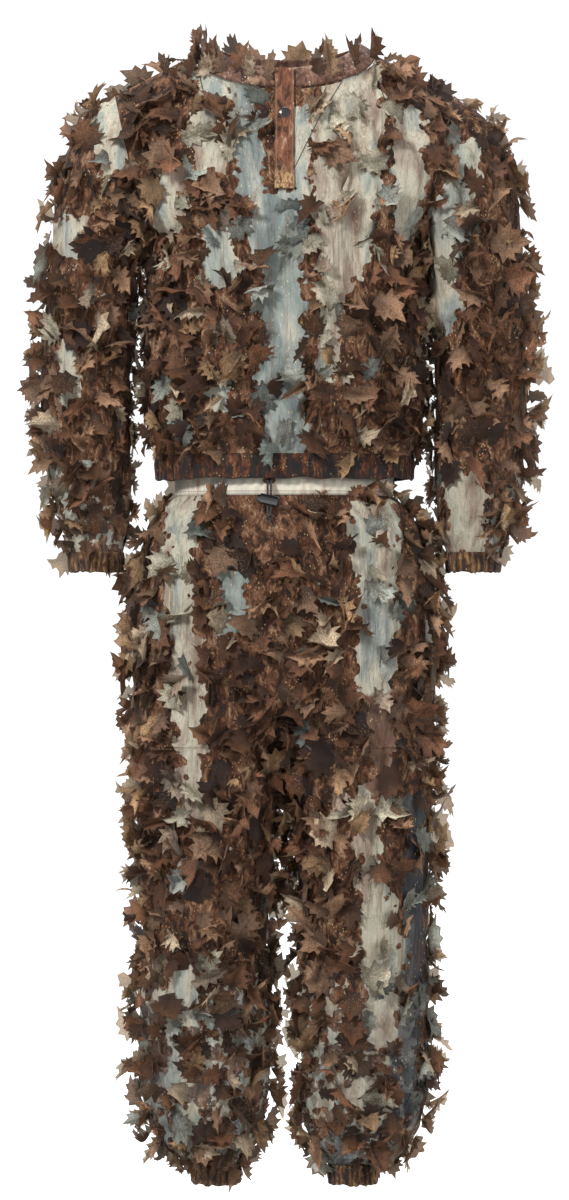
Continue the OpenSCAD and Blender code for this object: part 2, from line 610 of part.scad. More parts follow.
jacket_front();
jacket_back();
neckband();
under_placket();
snap_stud();
snap_post();
hem_band();
hem_elastic();
jacket_front_leaves();
jacket_back_leaves();
neckband_leaves();
placket();
snap_cap();
snap_socket();
right_upper_sleeve();
left_upper_sleeve();
right_upper_sleeve_leaves();
left_upper_sleeve_leaves();
right_lower_sleeve();
left_lower_sleeve();
right_lower_sleeve_leaves();
left_lower_sleeve_leaves();
right_cuff_band();
left_cuff_band();
right_cuff_elastic();
left_cuff_elastic();
trouser_front();
trouser_back();
waistband();
waist_elastic();
drawcord();
drawcord_tail_right();
drawcord_tail_left();
drawcord_knot();
trouser_front_leaves();
trouser_back_leaves();
lock_barrel();
lock_spring();
lock_button();
right_thigh();
left_thigh();
right_thigh_leaves();
left_thigh_leaves();
right_shin();
left_shin();
right_shin_leaves();
left_shin_leaves();
right_ankle_band();
left_ankle_band();
right_ankle_elastic();
left_ankle_elastic();
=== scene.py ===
# A two-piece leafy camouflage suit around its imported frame. Metres; +Z is up and the wearer faces -Y.
import math

import bpy
import numpy as np
from mathutils import Matrix, Vector
from mathutils.geometry import delaunay_2d_cdt


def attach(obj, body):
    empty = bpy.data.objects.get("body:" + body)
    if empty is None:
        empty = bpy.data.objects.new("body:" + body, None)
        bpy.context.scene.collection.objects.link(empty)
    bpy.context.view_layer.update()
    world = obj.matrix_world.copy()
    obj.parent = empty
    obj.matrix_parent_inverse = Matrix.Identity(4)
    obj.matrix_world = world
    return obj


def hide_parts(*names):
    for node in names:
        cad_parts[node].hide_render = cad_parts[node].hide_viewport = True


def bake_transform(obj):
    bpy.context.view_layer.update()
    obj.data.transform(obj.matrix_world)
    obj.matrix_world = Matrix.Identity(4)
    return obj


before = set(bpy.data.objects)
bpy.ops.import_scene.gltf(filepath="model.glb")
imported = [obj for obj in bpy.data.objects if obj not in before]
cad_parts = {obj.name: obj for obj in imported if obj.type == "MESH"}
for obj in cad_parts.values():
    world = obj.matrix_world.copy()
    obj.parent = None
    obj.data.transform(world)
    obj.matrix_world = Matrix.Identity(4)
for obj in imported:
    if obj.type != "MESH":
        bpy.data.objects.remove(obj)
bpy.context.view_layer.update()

MM = 0.001
SIDES = (("right", 1), ("left", -1))
FACES = (("front", -1), ("back", 1))
UP = np.array([0.0, 0.0, 1.0])


def mm(table):
    return np.array(table, float) * MM


# ---------------------------------------------------------------- camera, lights and stage

VIEW_HEIGHT = 1.68
SENSOR = 36
VIEW_Z = -0.742
CAMERA_Y = -6.0


def make_camera():
    data = bpy.data.cameras.new("camera")
    data.sensor_fit = "VERTICAL"
    data.sensor_height = SENSOR
    data.lens = SENSOR * abs(CAMERA_Y) / VIEW_HEIGHT
    data.clip_end = 60
    camera = bpy.data.objects.new("camera", data)
    camera.location = (0, CAMERA_Y, VIEW_Z)
    camera.rotation_euler = (math.radians(90), 0, 0)
    bpy.context.scene.collection.objects.link(camera)
    bpy.context.scene.camera = camera
    bpy.context.scene.view_settings.view_transform = "Standard"


def area_light(name, place, target, size, energy):
    data = bpy.data.lights.new(name, "AREA")
    data.shape = "RECTANGLE"
    data.size, data.size_y = size
    data.energy = energy
    light = bpy.data.objects.new(name, data)
    light.location = place
    light.rotation_euler = (Vector(target) - Vector(place)).to_track_quat("-Z", "Y").to_euler()
    bpy.context.scene.collection.objects.link(light)


# ---------------------------------------------------------------- node materials


class Nodes:
    """A material's node tree, built from the texture coordinates to the surface."""

    def __init__(self, name):
        self.material = bpy.data.materials.new(name)
        self.material.use_nodes = True
        self.tree = self.material.node_tree
        self.tree.nodes.clear()

    def new(self, kind, inputs=None, **settings):
        node = self.tree.nodes.new("ShaderNode" + kind)
        for key, value in settings.items():
            setattr(node, key, value)
        for key, value in (inputs or {}).items():
            socket = node.inputs[key]
            if isinstance(value, bpy.types.NodeSocket):
                self.tree.links.new(value, socket)
            else:
                if socket.type == "RGBA" and len(value) == 3:
                    value = (*value, 1)
                socket.default_value = value
        return node

    def attribute(self, name, output="Vector"):
        return self.new("Attribute", attribute_name=name).outputs[output]

    def scaled(self, vector, scale, offset=(0, 0, 0)):
        return self.new("Mapping", {"Vector": vector, "Scale": scale, "Location": offset}).outputs[0]

    def noise(self, vector, scale, detail=3, roughness=0.55, distortion=0.0):
        return self.new("TexNoise", {"Vector": vector, "Scale": scale, "Detail": detail,
                                     "Roughness": roughness, "Distortion": distortion}).outputs["Fac"]

    def voronoi(self, vector, scale):
        return self.new("TexVoronoi", {"Vector": vector, "Scale": scale}).outputs["Distance"]

    def math(self, operation, a, b=0.0, c=0.0, clamp=False):
        return self.new("Math", {0: a, 1: b, 2: c}, operation=operation, use_clamp=clamp).outputs[0]

    def plus(self, a, b, clamp=False):
        return self.math("ADD", a, b, clamp=clamp)

    def minus(self, a, b):
        return self.math("SUBTRACT", a, b)

    def times(self, a, b):
        return self.math("MULTIPLY", a, b)

    def size(self, a):
        return self.math("ABSOLUTE", a)

    def parts(self, vector):
        return self.new("SeparateXYZ", {"Vector": vector}).outputs

    def step(self, value, low, high, out_low=0.0, out_high=1.0):
        return self.new("MapRange", {"Value": value, "From Min": low, "From Max": high, "To Min": out_low,
                                     "To Max": out_high}, interpolation_type="SMOOTHSTEP").outputs[0]

    def ramp(self, value, stops):
        node = self.new("ValToRGB", {"Fac": value})
        elements = node.color_ramp.elements
        while len(elements) < len(stops):
            elements.new(0.5)
        for element, (position, colour) in zip(elements, stops):
            element.position = position
            element.color = (*colour, 1)
        return node.outputs["Color"]

    def mix(self, factor, a, b, blend="MIX"):
        node = self.new("Mix", data_type="RGBA", blend_type=blend)
        for socket, value in ((node.inputs[0], factor), (node.inputs[6], a), (node.inputs[7], b)):
            if isinstance(value, bpy.types.NodeSocket):
                self.tree.links.new(value, socket)
            else:
                socket.default_value = (*value, 1) if hasattr(value, "__len__") and len(value) == 3 else value
        return node.outputs[2]

    def toned(self, colour, factors):
        return self.mix(1.0, colour, factors, "MULTIPLY")

    def bump(self, height, distance, strength=1.0, normal=None):
        inputs = {"Height": height, "Distance": distance, "Strength": strength}
        if normal is not None:
            inputs["Normal"] = normal
        return self.new("Bump", inputs).outputs[0]

    def surface(self, inputs, clear=None, clear_colour=(1, 1, 1), glow=None, glow_share=0.0):
        shader = self.new("BsdfPrincipled", inputs).outputs[0]
        if glow is not None:
            light = self.new("BsdfTranslucent", {"Color": glow}).outputs[0]
            shader = self.new("MixShader", {0: glow_share, 1: shader, 2: light}).outputs[0]
        if clear is not None:
            gap = self.new("BsdfTransparent", {"Color": clear_colour}).outputs[0]
            shader = self.new("MixShader", {0: clear, 1: shader, 2: gap}).outputs[0]
        self.new("OutputMaterial", {"Surface": shader})
        return self.material

    def cloth(self, colour, roughness, normal, sheen, *layers):
        """A cloth's surface; layers are the rest of what surface() takes."""
        return self.surface({"Base Color": colour, "Roughness": roughness, "Normal": normal, "Sheen Weight": sheen,
                             "Sheen Roughness": 0.5, "Specular IOR Level": 0.25}, *layers)


def srgb(text):
    values = [int(text[k:k + 2], 16) / 255 for k in (0, 2, 4)]
    return tuple(v / 12.92 if v <= 0.04045 else ((v + 0.055) / 1.055) ** 2.4 for v in values)


BLACK = srgb("14100d")
DARK = srgb("301b10")
CHOCOLATE = srgb("503320")
BROWN = srgb("704d38")
MAUVE = srgb("7a604d")
TAN = srgb("9a7d5e")
GOLD = srgb("b2986c")
CREAM = srgb("cbc5b0")
BEIGE = srgb("a89787")
BLUE_GREY = srgb("7f8a87")
PALE_BLUE = srgb("a7ada5")


def litter_print(n, rest):
    """Bark and dead leaves: dark blotches, brown fibres and small golden flecks."""
    fine = n.scaled(rest, (1, 1, 0.55))
    warp = n.noise(fine, 70, 5, 0.68, 1.2)
    base = n.ramp(warp, [(0.34, BLACK), (0.43, DARK), (0.50, CHOCOLATE), (0.57, BROWN), (0.65, srgb("8a745c")),
                         (0.76, GOLD)])
    grit = n.noise(n.scaled(rest, (1, 1, 0.35)), 520, 3, 0.7)
    base = n.mix(n.step(grit, 0.50, 0.66, 0.0, 0.55), base, n.toned(base, (2.4, 2.3, 2.1)))
    flecks = n.step(n.voronoi(n.scaled(rest, (1, 1, 0.7)), 260), 0.14, 0.30, 1.0, 0.0)
    chosen = n.step(n.noise(rest, 38, 3), 0.50, 0.60)
    return n.mix(n.times(flecks, chosen), base, GOLD)


def pale_print(n, rest, hue):
    """Birch bark: cream, beige and blue-grey blotches, fine upright streaks and golden flecks."""
    soft = n.noise(n.scaled(rest, (1, 1, 0.28)), 26, 4, 0.6, 0.5)
    blotch = n.plus(soft, n.times(n.minus(hue, 0.5), 0.55))
    colour = n.ramp(blotch, [(0.05, CHOCOLATE), (0.20, srgb("7d6150")), (0.32, BEIGE), (0.46, CREAM),
                             (0.56, PALE_BLUE), (0.70, BLUE_GREY), (0.95, srgb("3a3d42"))])
    stain = n.noise(n.scaled(rest, (1, 1, 0.10)), 75, 4, 0.62, 0.4)
    colour = n.mix(n.step(stain, 0.52, 0.68, 0.0, 0.60), colour, srgb("7a6353"))
    colour = n.mix(n.step(n.noise(rest, 900, 2), 0.52, 0.66, 0.0, 0.30), colour, srgb("4d4540"))
    streak = n.step(n.noise(n.scaled(rest, (1, 1, 0.05)), 420, 3, 0.6), 0.52, 0.70)
    colour = n.mix(n.times(streak, 0.50), colour, srgb("5a524b"))
    flecks = n.step(n.voronoi(n.scaled(rest, (1, 1, 0.6)), 210), 0.10, 0.26, 1.0, 0.0)
    where = n.step(n.noise(n.scaled(rest, (1, 1, 0.4)), 34, 3), 0.48, 0.60)
    return n.mix(n.times(flecks, where), colour, srgb("d9c9a0"))


def weave_height(n, rest):
    return n.noise(n.scaled(rest, (620, 620, 372)), 1.0, 2)


# Seams sewn across the jacket's front, each from one point to another in x and z, in metres
SEAMS = [((0.113, 0.030), (0.048, -0.077)), ((0.048, -0.077), (0.008, -0.160)),
         ((-0.127, 0.030), (-0.110, -0.050)), ((0.113, 0.030), (0.142, -0.060))]


def seam_line(n, rest, start, end):
    """1 on a straight seam on the front and 0 elsewhere."""
    parts = n.parts(rest)
    dx, dz = end[0] - start[0], end[1] - start[1]
    reach = math.hypot(dx, dz)
    off = n.plus(n.times(parts[0], dz / reach), n.times(parts[2], -dx / reach))
    away = n.size(n.minus(off, (start[0] * dz - start[1] * dx) / reach))
    line = n.step(away, 0.0004, 0.0012, 1.0, 0.0)
    limits = ((parts[2], end[1], 0.0, 1.0), (parts[2], start[1], 1.0, 0.0), (parts[1], -0.001, 1.0, 0.0))
    for value, limit, below, above in limits:
        line = n.times(line, n.step(value, limit, limit + 0.001, below, above))
    return line


def mesh_cloth():
    n = Nodes("mesh_cloth")
    rest = n.attribute("rest")
    pale = n.attribute("pale", "Fac")
    hue = n.attribute("hue", "Fac")
    sheer = n.attribute("sheer", "Fac")
    torn = n.noise(rest, 55, 4, 0.6)
    lobes = n.voronoi(rest, 62)
    jag = n.plus(n.times(n.minus(torn, 0.5), 1.1), n.times(n.minus(lobes, 0.45), 0.75))
    mask = n.step(n.plus(pale, jag), 0.47, 0.53)
    colour = n.mix(mask, litter_print(n, rest), pale_print(n, rest, hue))
    for start, end in SEAMS:
        colour = n.mix(n.times(seam_line(n, rest, start, end), 0.85), colour, BLACK)
    crumple = n.noise(n.scaled(rest, (1, 1, 0.5)), 95, 4, 0.6)
    normal = n.bump(weave_height(n, rest), 0.0006, 0.35, n.bump(crumple, 0.006, 0.7))
    clear = n.plus(n.times(sheer, n.step(torn, 0.30, 0.75, 0.35, 0.75)), n.times(mask, 0.05), clamp=True)
    return n.cloth(colour, 0.82, normal, 0.06, clear, (0.98, 0.96, 0.93), colour, 0.12)


def leaf_cloth():
    n = Nodes("leaf_cloth")
    leaf = n.attribute("leaf")
    # The tint attribute holds each leaf's colour with painted shade where the leaf lies close to the cloth and painted
    # light where it stands off.
    tint = n.attribute("tint", "Color")
    edge = n.attribute("edge", "Fac")
    parts = n.parts(leaf)
    across = n.size(parts[0])
    fine = n.scaled(leaf, (1, 1, 3.7))
    cloud = n.noise(fine, 3.2, 4, 0.62, 0.6)
    grain = n.noise(fine, 26, 3, 0.6)
    speck = n.step(n.voronoi(fine, 17), 0.12, 0.34, 1.0, 0.0)
    printed = n.step(n.noise(n.scaled(leaf, (0.3, 0.3, 9.1)), 1.4, 1), 0.50, 0.58)
    colour = n.mix(n.step(cloud, 0.38, 0.62), n.toned(tint, (0.50, 0.45, 0.42)), tint)
    colour = n.mix(n.step(grain, 0.42, 0.68, 0.0, 0.60), colour, n.toned(tint, (2.2, 2.1, 1.95)))
    colour = n.mix(n.times(n.times(speck, printed), 0.55), colour, GOLD)
    rib = n.step(across, 0.006, 0.024, 1.0, 0.0)
    slant = n.minus(parts[1], n.times(across, 0.85))
    veins = n.step(n.size(n.minus(n.math("FRACT", n.times(slant, 6.5)), 0.5)),
                   0.02, 0.09, 1.0, 0.0)
    lines = n.math("MAXIMUM", rib, n.times(veins, 0.45))
    colour = n.mix(n.times(lines, 0.38), colour, n.toned(tint, (0.35, 0.32, 0.30)))
    colour = n.mix(n.step(edge, 0.0, 0.055, 0.55, 0.0), colour, n.toned(tint, (0.45, 0.40, 0.36)))
    height = n.plus(n.times(grain, 0.5), n.times(lines, -0.6))
    normal = n.bump(height, 0.0012, 0.5)
    return n.cloth(colour, 0.70, normal, 0.05, n.attribute("thin", "Fac"),
                     (0.95, 0.84, 0.70), n.mix(0.5, colour, TAN), 0.16)


def band_cloth(name, stops, fleck, flat=0.38):
    """A gathered or folded band: streaky bark print with flecks, and painted shade darkening its pleats' grooves."""
    n = Nodes(name)
    rest = n.attribute("rest")
    streaks = n.noise(n.scaled(rest, (1, 1, flat)), 120, 5, 0.66, 0.8)
    cloud = n.noise(rest, 34, 3, 0.6)
    value = n.plus(n.times(streaks, 0.7), n.times(cloud, 0.3))
    colour = n.ramp(value, stops)
    specks = n.step(n.voronoi(rest, 240), 0.12, 0.30, 1.0, 0.0)
    where = n.step(n.noise(rest, 60, 3), 0.50, 0.62)
    colour = n.mix(n.times(specks, where), colour, fleck)
    # Painted shade: the pleats' grooves are darkened towards black where shade would fall in them.
    colour = n.mix(n.times(n.attribute("painted_groove_shade", "Fac"), 0.80), colour, BLACK)
    normal = n.bump(weave_height(n, rest), 0.0005, 0.35, n.bump(streaks, 0.002, 0.4))
    return n.cloth(colour, 0.8, normal, 0.12)


# The stitched hole in the waistband that the drawcord's tails leave by
BUTTONHOLE = (-0.021, 0, -0.577)
BUTTONHOLE_HALF = (0.0085, 1, 0.0048)


def lining_cloth():
    n = Nodes("waistband_cloth")
    rest = n.attribute("rest")
    parts = n.parts(rest)
    soft = n.noise(n.scaled(rest, (1, 1, 0.3)), 30, 4, 0.6)
    colour = n.ramp(soft, [(0.30, srgb("9aa6ab")), (0.44, srgb("cfc9bb")), (0.56, srgb("ddd6c4")),
                           (0.70, srgb("b59b8e"))])
    seam = n.step(n.size(n.minus(parts[2], WAIST_STITCH_Z)), 0.0004, 0.0012, 1.0, 0.0)
    around = n.math("FRACT", n.times(n.new("Math", {0: parts[1], 1: parts[0]}, operation="ARCTAN2").outputs[0], 42))
    dash = n.times(seam, n.step(around, 0.30, 0.36))
    colour = n.mix(n.times(dash, 0.7), colour, BROWN)
    wide, high = (n.times(n.minus(parts[k], BUTTONHOLE[k]), 1 / BUTTONHOLE_HALF[k]) for k in (0, 2))
    off = n.math("SQRT", n.plus(n.times(wide, wide), n.times(high, high)))
    front = n.step(parts[1], -0.002, 0.0, 1.0, 0.0)
    colour = n.mix(n.times(n.step(off, 1.0, 1.15, 1.0, 0.0), front), colour, BROWN)
    # Painted shade: the buttonhole's open middle is painted black for the dark inside of the hole.
    colour = n.mix(n.times(n.step(off, 0.55, 0.65, 1.0, 0.0), front), colour, BLACK)
    normal = n.bump(weave_height(n, rest), 0.0004, 0.35, n.bump(soft, 0.002, 0.3))
    return n.cloth(colour, 0.85, normal, 0.12)


def woven_elastic():
    n = Nodes("woven_elastic")
    rest = n.attribute("rest")
    parts = n.parts(rest)
    rows = n.math("SINE", n.times(parts[2], 3600))
    tone = n.noise(rest, 90, 3)
    colour = n.mix(tone, srgb("c9c4b4"), srgb("e2ddcf"))
    return n.surface({"Base Color": colour, "Roughness": 0.75, "Normal": n.bump(rows, 0.0003, 0.6),
                      "Specular IOR Level": 0.3})


def braided_cord():
    n = Nodes("braided_cord")
    place = n.new("TexCoord").outputs["Object"]
    braid = n.new("TexWave", {"Vector": n.scaled(place, (1, 1, 1.2)), "Scale": 260, "Distortion": 1.5, "Detail": 1},
                  bands_direction="DIAGONAL").outputs["Fac"]
    tone = n.mix(braid, srgb("0c0c0d"), srgb("2b2a2a"))
    return n.surface({"Base Color": tone, "Roughness": 0.62, "Normal": n.bump(braid, 0.0004, 0.7),
                      "Sheen Weight": 0.1, "Specular IOR Level": 0.4})


def gloss_black(name, roughness, metallic=0.0):
    n = Nodes(name)
    place = n.new("TexCoord").outputs["Object"]
    haze = n.noise(place, 90, 4, 0.6)
    scuffs = n.step(n.noise(n.scaled(place, (1, 1, 6)), 340, 3), 0.60, 0.72)
    rough = n.plus(n.step(haze, 0.3, 0.7, roughness, roughness + 0.12), n.times(scuffs, 0.15))
    colour = n.mix(scuffs, srgb("0b0b0c"), srgb("1d1d1f"))
    return n.surface({"Base Color": colour, "Roughness": rough, "Metallic": metallic,
                      "Normal": n.bump(haze, 0.0003, 0.15), "Coat Weight": 0.4, "Coat Roughness": 0.08})


def spring_steel():
    n = Nodes("spring_steel")
    place = n.new("TexCoord").outputs["Object"]
    draw = n.noise(n.scaled(place, (1, 6, 6)), 500, 3)
    return n.surface({"Base Color": n.mix(draw, srgb("8f9296"), srgb("c4c6c9")), "Metallic": 1.0,
                      "Roughness": n.step(draw, 0.3, 0.7, 0.22, 0.38)})


def stage_white():
    n = Nodes("stage_white")
    place = n.new("TexCoord").outputs["Object"]
    tone = n.noise(place, 1.5, 2)
    return n.surface({"Base Color": n.mix(tone, (0.90, 0.90, 0.90), (0.93, 0.93, 0.93)), "Roughness": 0.95,
                      "Emission Color": (1, 1, 1), "Emission Strength": STAGE_GLOW})


# ---------------------------------------------------------------- smooth random numbers


def hash01(*keys):
    """Numbers from 0 to 1 that look random and are always the same for the same whole numbers."""
    total = np.zeros(np.broadcast(*keys).shape)
    for k, key in enumerate(keys):
        total = total + np.asarray(key, float) * (12.9898, 78.233, 37.719, 93.989)[k]
    value = np.sin(total) * 43758.5453
    return value - np.floor(value)


def smooth_noise(x, y, z=0.0, seed=0):
    """Value noise from -1 to 1 on a lattice of unit cells."""
    x, y, z = np.broadcast_arrays(np.asarray(x, float), np.asarray(y, float), np.asarray(z, float))
    ix, iy, iz = np.floor(x), np.floor(y), np.floor(z)
    fx, fy, fz = x - ix, y - iy, z - iz
    fx, fy, fz = (f * f * (3 - 2 * f) for f in (fx, fy, fz))
    total = np.zeros(x.shape)
    for dx in (0, 1):
        for dy in (0, 1):
            for dz in (0, 1):
                weight = (fx if dx else 1 - fx) * (fy if dy else 1 - fy) * (fz if dz else 1 - fz)
                total += weight * hash01(ix + dx, iy + dy, iz + dz, seed)
    return total * 2 - 1


def smoothstep(value, low, high):
    t = np.clip((value - low) / (high - low), 0, 1)
    return t * t * (3 - 2 * t)


# ---------------------------------------------------------------- meshes


def add_mesh(name, points, faces, attributes=None):
    mesh = bpy.data.meshes.new(name)
    mesh.from_pydata(np.asarray(points).tolist(), [], np.asarray(faces).tolist())
    for key, values in (attributes or {}).items():
        values = np.asarray(values, np.float32)
        if values.ndim == 1:
            mesh.attributes.new(key, "FLOAT", "POINT").data.foreach_set("value", values)
        elif values.shape[1] == 3:
            mesh.attributes.new(key, "FLOAT_VECTOR", "POINT").data.foreach_set("vector", values.ravel())
        else:
            mesh.attributes.new(key, "FLOAT_COLOR", "POINT").data.foreach_set("color", values.ravel())
    mesh.shade_smooth()
    mesh.update()
    obj = bpy.data.objects.new(name, mesh)
    bpy.context.scene.collection.objects.link(obj)
    return obj


def grid_faces(rows, columns, closed=False):
    i, j = np.meshgrid(np.arange(rows - 1), np.arange(columns if closed else columns - 1), indexing="ij")
    k = (j + 1) % columns
    corners = [i * columns + j, (i + 1) * columns + j, (i + 1) * columns + k, i * columns + k]
    return np.stack(corners, -1).reshape(-1, 4)


def grid_normals(grid, closed=False):
    """Outward normals of a grid whose rows go down and whose columns go to the right, seen from outside."""
    down = np.gradient(grid, axis=0)
    if closed:
        right = (np.roll(grid, -1, axis=1) - np.roll(grid, 1, axis=1)) / 2
    else:
        right = np.gradient(grid, axis=1)
    normal = np.cross(down, right)
    return normal / np.maximum(np.linalg.norm(normal, axis=2, keepdims=True), 1e-9)


# ---------------------------------------------------------------- the body's surfaces, as in the CAD model

# Tables of height and half width or depth; a sleeve's or leg's rows are its inner edge, outer edge and half depth
SIDE_HALF = mm([[-574, 180], [-540, 179], [-515, 189], [-470, 196], [-400, 196], [-320, 194], [-236, 192],
                [-36, 236], [200, 236]])
FRONT_DEPTH = mm([[-574, 108], [-540, 107], [-510, 116], [-400, 121], [-230, 120], [0, 78], [80, 63]])
BACK_DEPTH = mm([[-574, 108], [-540, 107], [-510, 113], [-400, 115], [-160, 118], [0, 88], [80, 70]])
SEAT_HALF = mm([[-1245, 206], [-945, 207], [-850, 212], [-742, 213], [-680, 204], [-640, 190], [-612, 166],
                [-597, 151]])
SEAT_DEPTH = mm([[-945, 105], [-850, 112], [-742, 113], [-680, 110], [-640, 104], [-612, 97], [-597, 93]])
SHOULDER_X, SHOULDER_Z, PIT_Z, HEM_Z = 0.236, -0.036, -0.236, -0.540
NECK_X, NECK_Z, NECK_SEAM = 0.128, 0.020, 0.003
NECK_DIP = {-1: -0.034, 1: -0.004}
WAIST_Z, CROTCH_Z = -0.597, -0.945
ELBOW_Z, KNEE_Z = -0.336, -1.19
CUFF_X, CUFF_TOP_Z = 0.264, -0.675
ANKLE_X, ANKLE_TOP_Z = 0.096, -1.529
UPPER_SLEEVE = mm([[193, -237, 237, -36, 70], [197, -253, 280, -64, 74], [200, -272, 308, -116, 76],
                   [203, -294, 324, -190, 74], [205, -320, 332, -270, 70], [207, -347, 335, -336, 67],
                   [208, -370, 337, -370, 65]])
LOWER_SLEEVE = mm([[211, -430, 339, -430, 64], [213, -500, 338, -500, 62], [214, -560, 334, -560, 58],
                   [216, -610, 326, -610, 53], [220, -650, 314, -650, 46], [226, -675, 302, -675, 39]])
SLEEVE = np.vstack([UPPER_SLEEVE, LOWER_SLEEVE])
LEG = mm([[3, -945, 207, -945, 104], [6, -985, 206, -985, 99], [12, -1050, 205, -1050, 92],
          [18, -1120, 203, -1120, 86], [22, -1190, 201, -1190, 81], [24, -1245, 200, -1245, 78],
          [24, -1310, 200, -1310, 76], [23, -1380, 200, -1380, 73], [23, -1430, 198, -1430, 70],
          [28, -1475, 190, -1475, 63], [42, -1508, 170, -1508, 52], [62, -1529, 130, -1529, 34]])
HALF_GAP = 0.0004


def lookup(table, z):
    return np.interp(z, table[:, 0], table[:, 1])


def shoulder_line(x):
    return NECK_Z - 0.5185 * (np.abs(x) - NECK_X)


def scoop(x, dip):
    return NECK_Z - (NECK_Z - dip) * np.sqrt(np.maximum(1 - (x / NECK_X) ** 2, 0))


def torso_depth(x, z, face):
    v = np.clip((shoulder_line(x) - z) / 0.110, 0, 1)
    full = lookup(FRONT_DEPTH if face < 0 else BACK_DEPTH, z) * np.sqrt(1 - (1 - v) ** 2)
    u = np.clip(np.abs(x) / lookup(SIDE_HALF, z), 0, 1)
    f = np.clip((SHOULDER_Z - z) / (SHOULDER_Z - PIT_Z), 0, 1)
    arm = 0.070 * np.sqrt(4 * f * (1 - f))
    return arm + (full - arm) * np.sqrt(1 - u ** 2.4)


def torso_grid(side, face, rows, columns):
    """A quarter of the jacket's body: from the middle to the side seam, and from the shoulder to the hem."""
    s = np.sin(np.radians(90) * np.linspace(0, 1, columns))[None, :]
    x = s * SHOULDER_X
    top = np.where(x < NECK_X, scoop(x, NECK_DIP[face]) - NECK_SEAM, shoulder_line(x) - HALF_GAP)
    t = np.linspace(0, 1, rows)[:, None] ** 1.15
    z = top + (HEM_Z - top) * t
    x = s * lookup(SIDE_HALF, z)
    y = face * (HALF_GAP + torso_depth(x, z, face))
    grid = np.stack([side * x, y, z + 0 * x], -1)
    return grid if side * face < 0 else grid[:, ::-1]


def seat_grid(side, face, rows, columns):
    """A quarter of the trousers' seat, which sinks to the crotch between the legs."""
    s = np.sin(np.radians(90) * np.linspace(0, 1, columns))[None, :]
    z = np.linspace(WAIST_Z, CROTCH_Z, rows)[:, None]
    half, depth = lookup(SEAT_HALF, z), lookup(SEAT_DEPTH, z)
    sink = np.clip((CROTCH_Z + 0.130 - z) / 0.130, 0, 1)
    whole = np.sqrt(np.maximum(1 - s ** 2.2, 0))
    leg_half = (half - 0.003) / 2
    leg = np.sqrt(np.maximum(1 - ((s * half - leg_half - 0.003) / leg_half) ** 2, 0))
    share = 1 - np.sqrt(np.maximum(1 - sink ** 2, 0))
    y = face * (HALF_GAP + depth * (whole + (leg - whole) * share))
    grid = np.stack([side * s * half, y, z + 0 * s], -1)
    return grid if side * face < 0 else grid[:, ::-1]


def tube_grid(stations, side, rows, columns, z0=None, z1=None):
    """A sleeve or a leg, all round; z0 and z1 are outer-edge heights where it is cut."""
    lengths = np.concatenate([[0], np.cumsum(np.hypot(np.diff(stations[:, 2]), np.diff(stations[:, 3])) +
                                             np.hypot(np.diff(stations[:, 0]), np.diff(stations[:, 1])))])
    heights = stations[:, 3]
    start = 0 if z0 is None else np.interp(-z0, -heights, lengths)
    stop = lengths[-1] if z1 is None else np.interp(-z1, -heights, lengths)
    at = np.linspace(start, stop, rows)
    row = np.stack([np.interp(at, lengths, stations[:, k]) for k in range(5)], -1)[:, None, :]
    a = np.linspace(0, 2 * np.pi, columns, endpoint=False)[None, :]
    out = (1 + np.cos(a)) / 2
    x = row[..., 0] + (row[..., 2] - row[..., 0]) * out
    z = row[..., 1] + (row[..., 3] - row[..., 1]) * out
    y = row[..., 4] * np.sin(a)
    grid = np.stack([side * x, y, z], -1)
    return grid if side > 0 else grid[:, ::-1]


# ---------------------------------------------------------------- the print's pale strips

# Each strip on the front: its share of blue, then heights with its left and right edges, in mm
FRONT_STRIPS = [
    (0.75, [(-25, -70, -38), (-112, -68, -36), (-182, -62, -30), (-207, -48, 22), (-259, -45, 20), (-287, -28, 22),
            (-392, -31, 25), (-539, -28, 28)]),
    (0.60, [(-67, 3, 29), (-154, 6, 31), (-217, 6, 28)]),
    (0.35, [(17, 48, 123), (-42, 45, 129), (-182, 45, 126), (-266, 48, 115), (-308, 50, 95), (-325, 48, 73),
            (-434, 50, 70)]),
    (0.40, [(-70, 151, 185), (-154, 148, 190), (-238, 154, 182)]),
    (0.55, [(-4, -129, -76), (-42, -120, -78)]),
    (0.35, [(-70, -129, -87), (-147, -123, -87)]),
    (0.45, [(-151, -179, -140), (-231, -176, -143)]),
    (0.50, [(-227, -109, -70), (-308, -106, -73)]),
    (0.65, [(-452, -98, -76), (-478, -98, -78)]),
    (0.50, [(-476, -157, -139), (-496, -156, -138)]),
]
SLEEVE_STRIPS = [
    (0.45, [(-49, -258, -202), (-98, -265, -199), (-147, -251, -213)]),
    (0.35, [(-220, -322, -280), (-262, -318, -284)]),
    (0.30, [(-384, -312, -290), (-462, -314, -288)]),
    (0.55, [(-560, -320, -296), (-600, -318, -298)]),
    (0.50, [(-112, 235, 266), (-168, 227, 263), (-203, 202, 239), (-364, 204, 235)]),
    (0.25, [(-570, 225, 274), (-672, 228, 274)]),
]
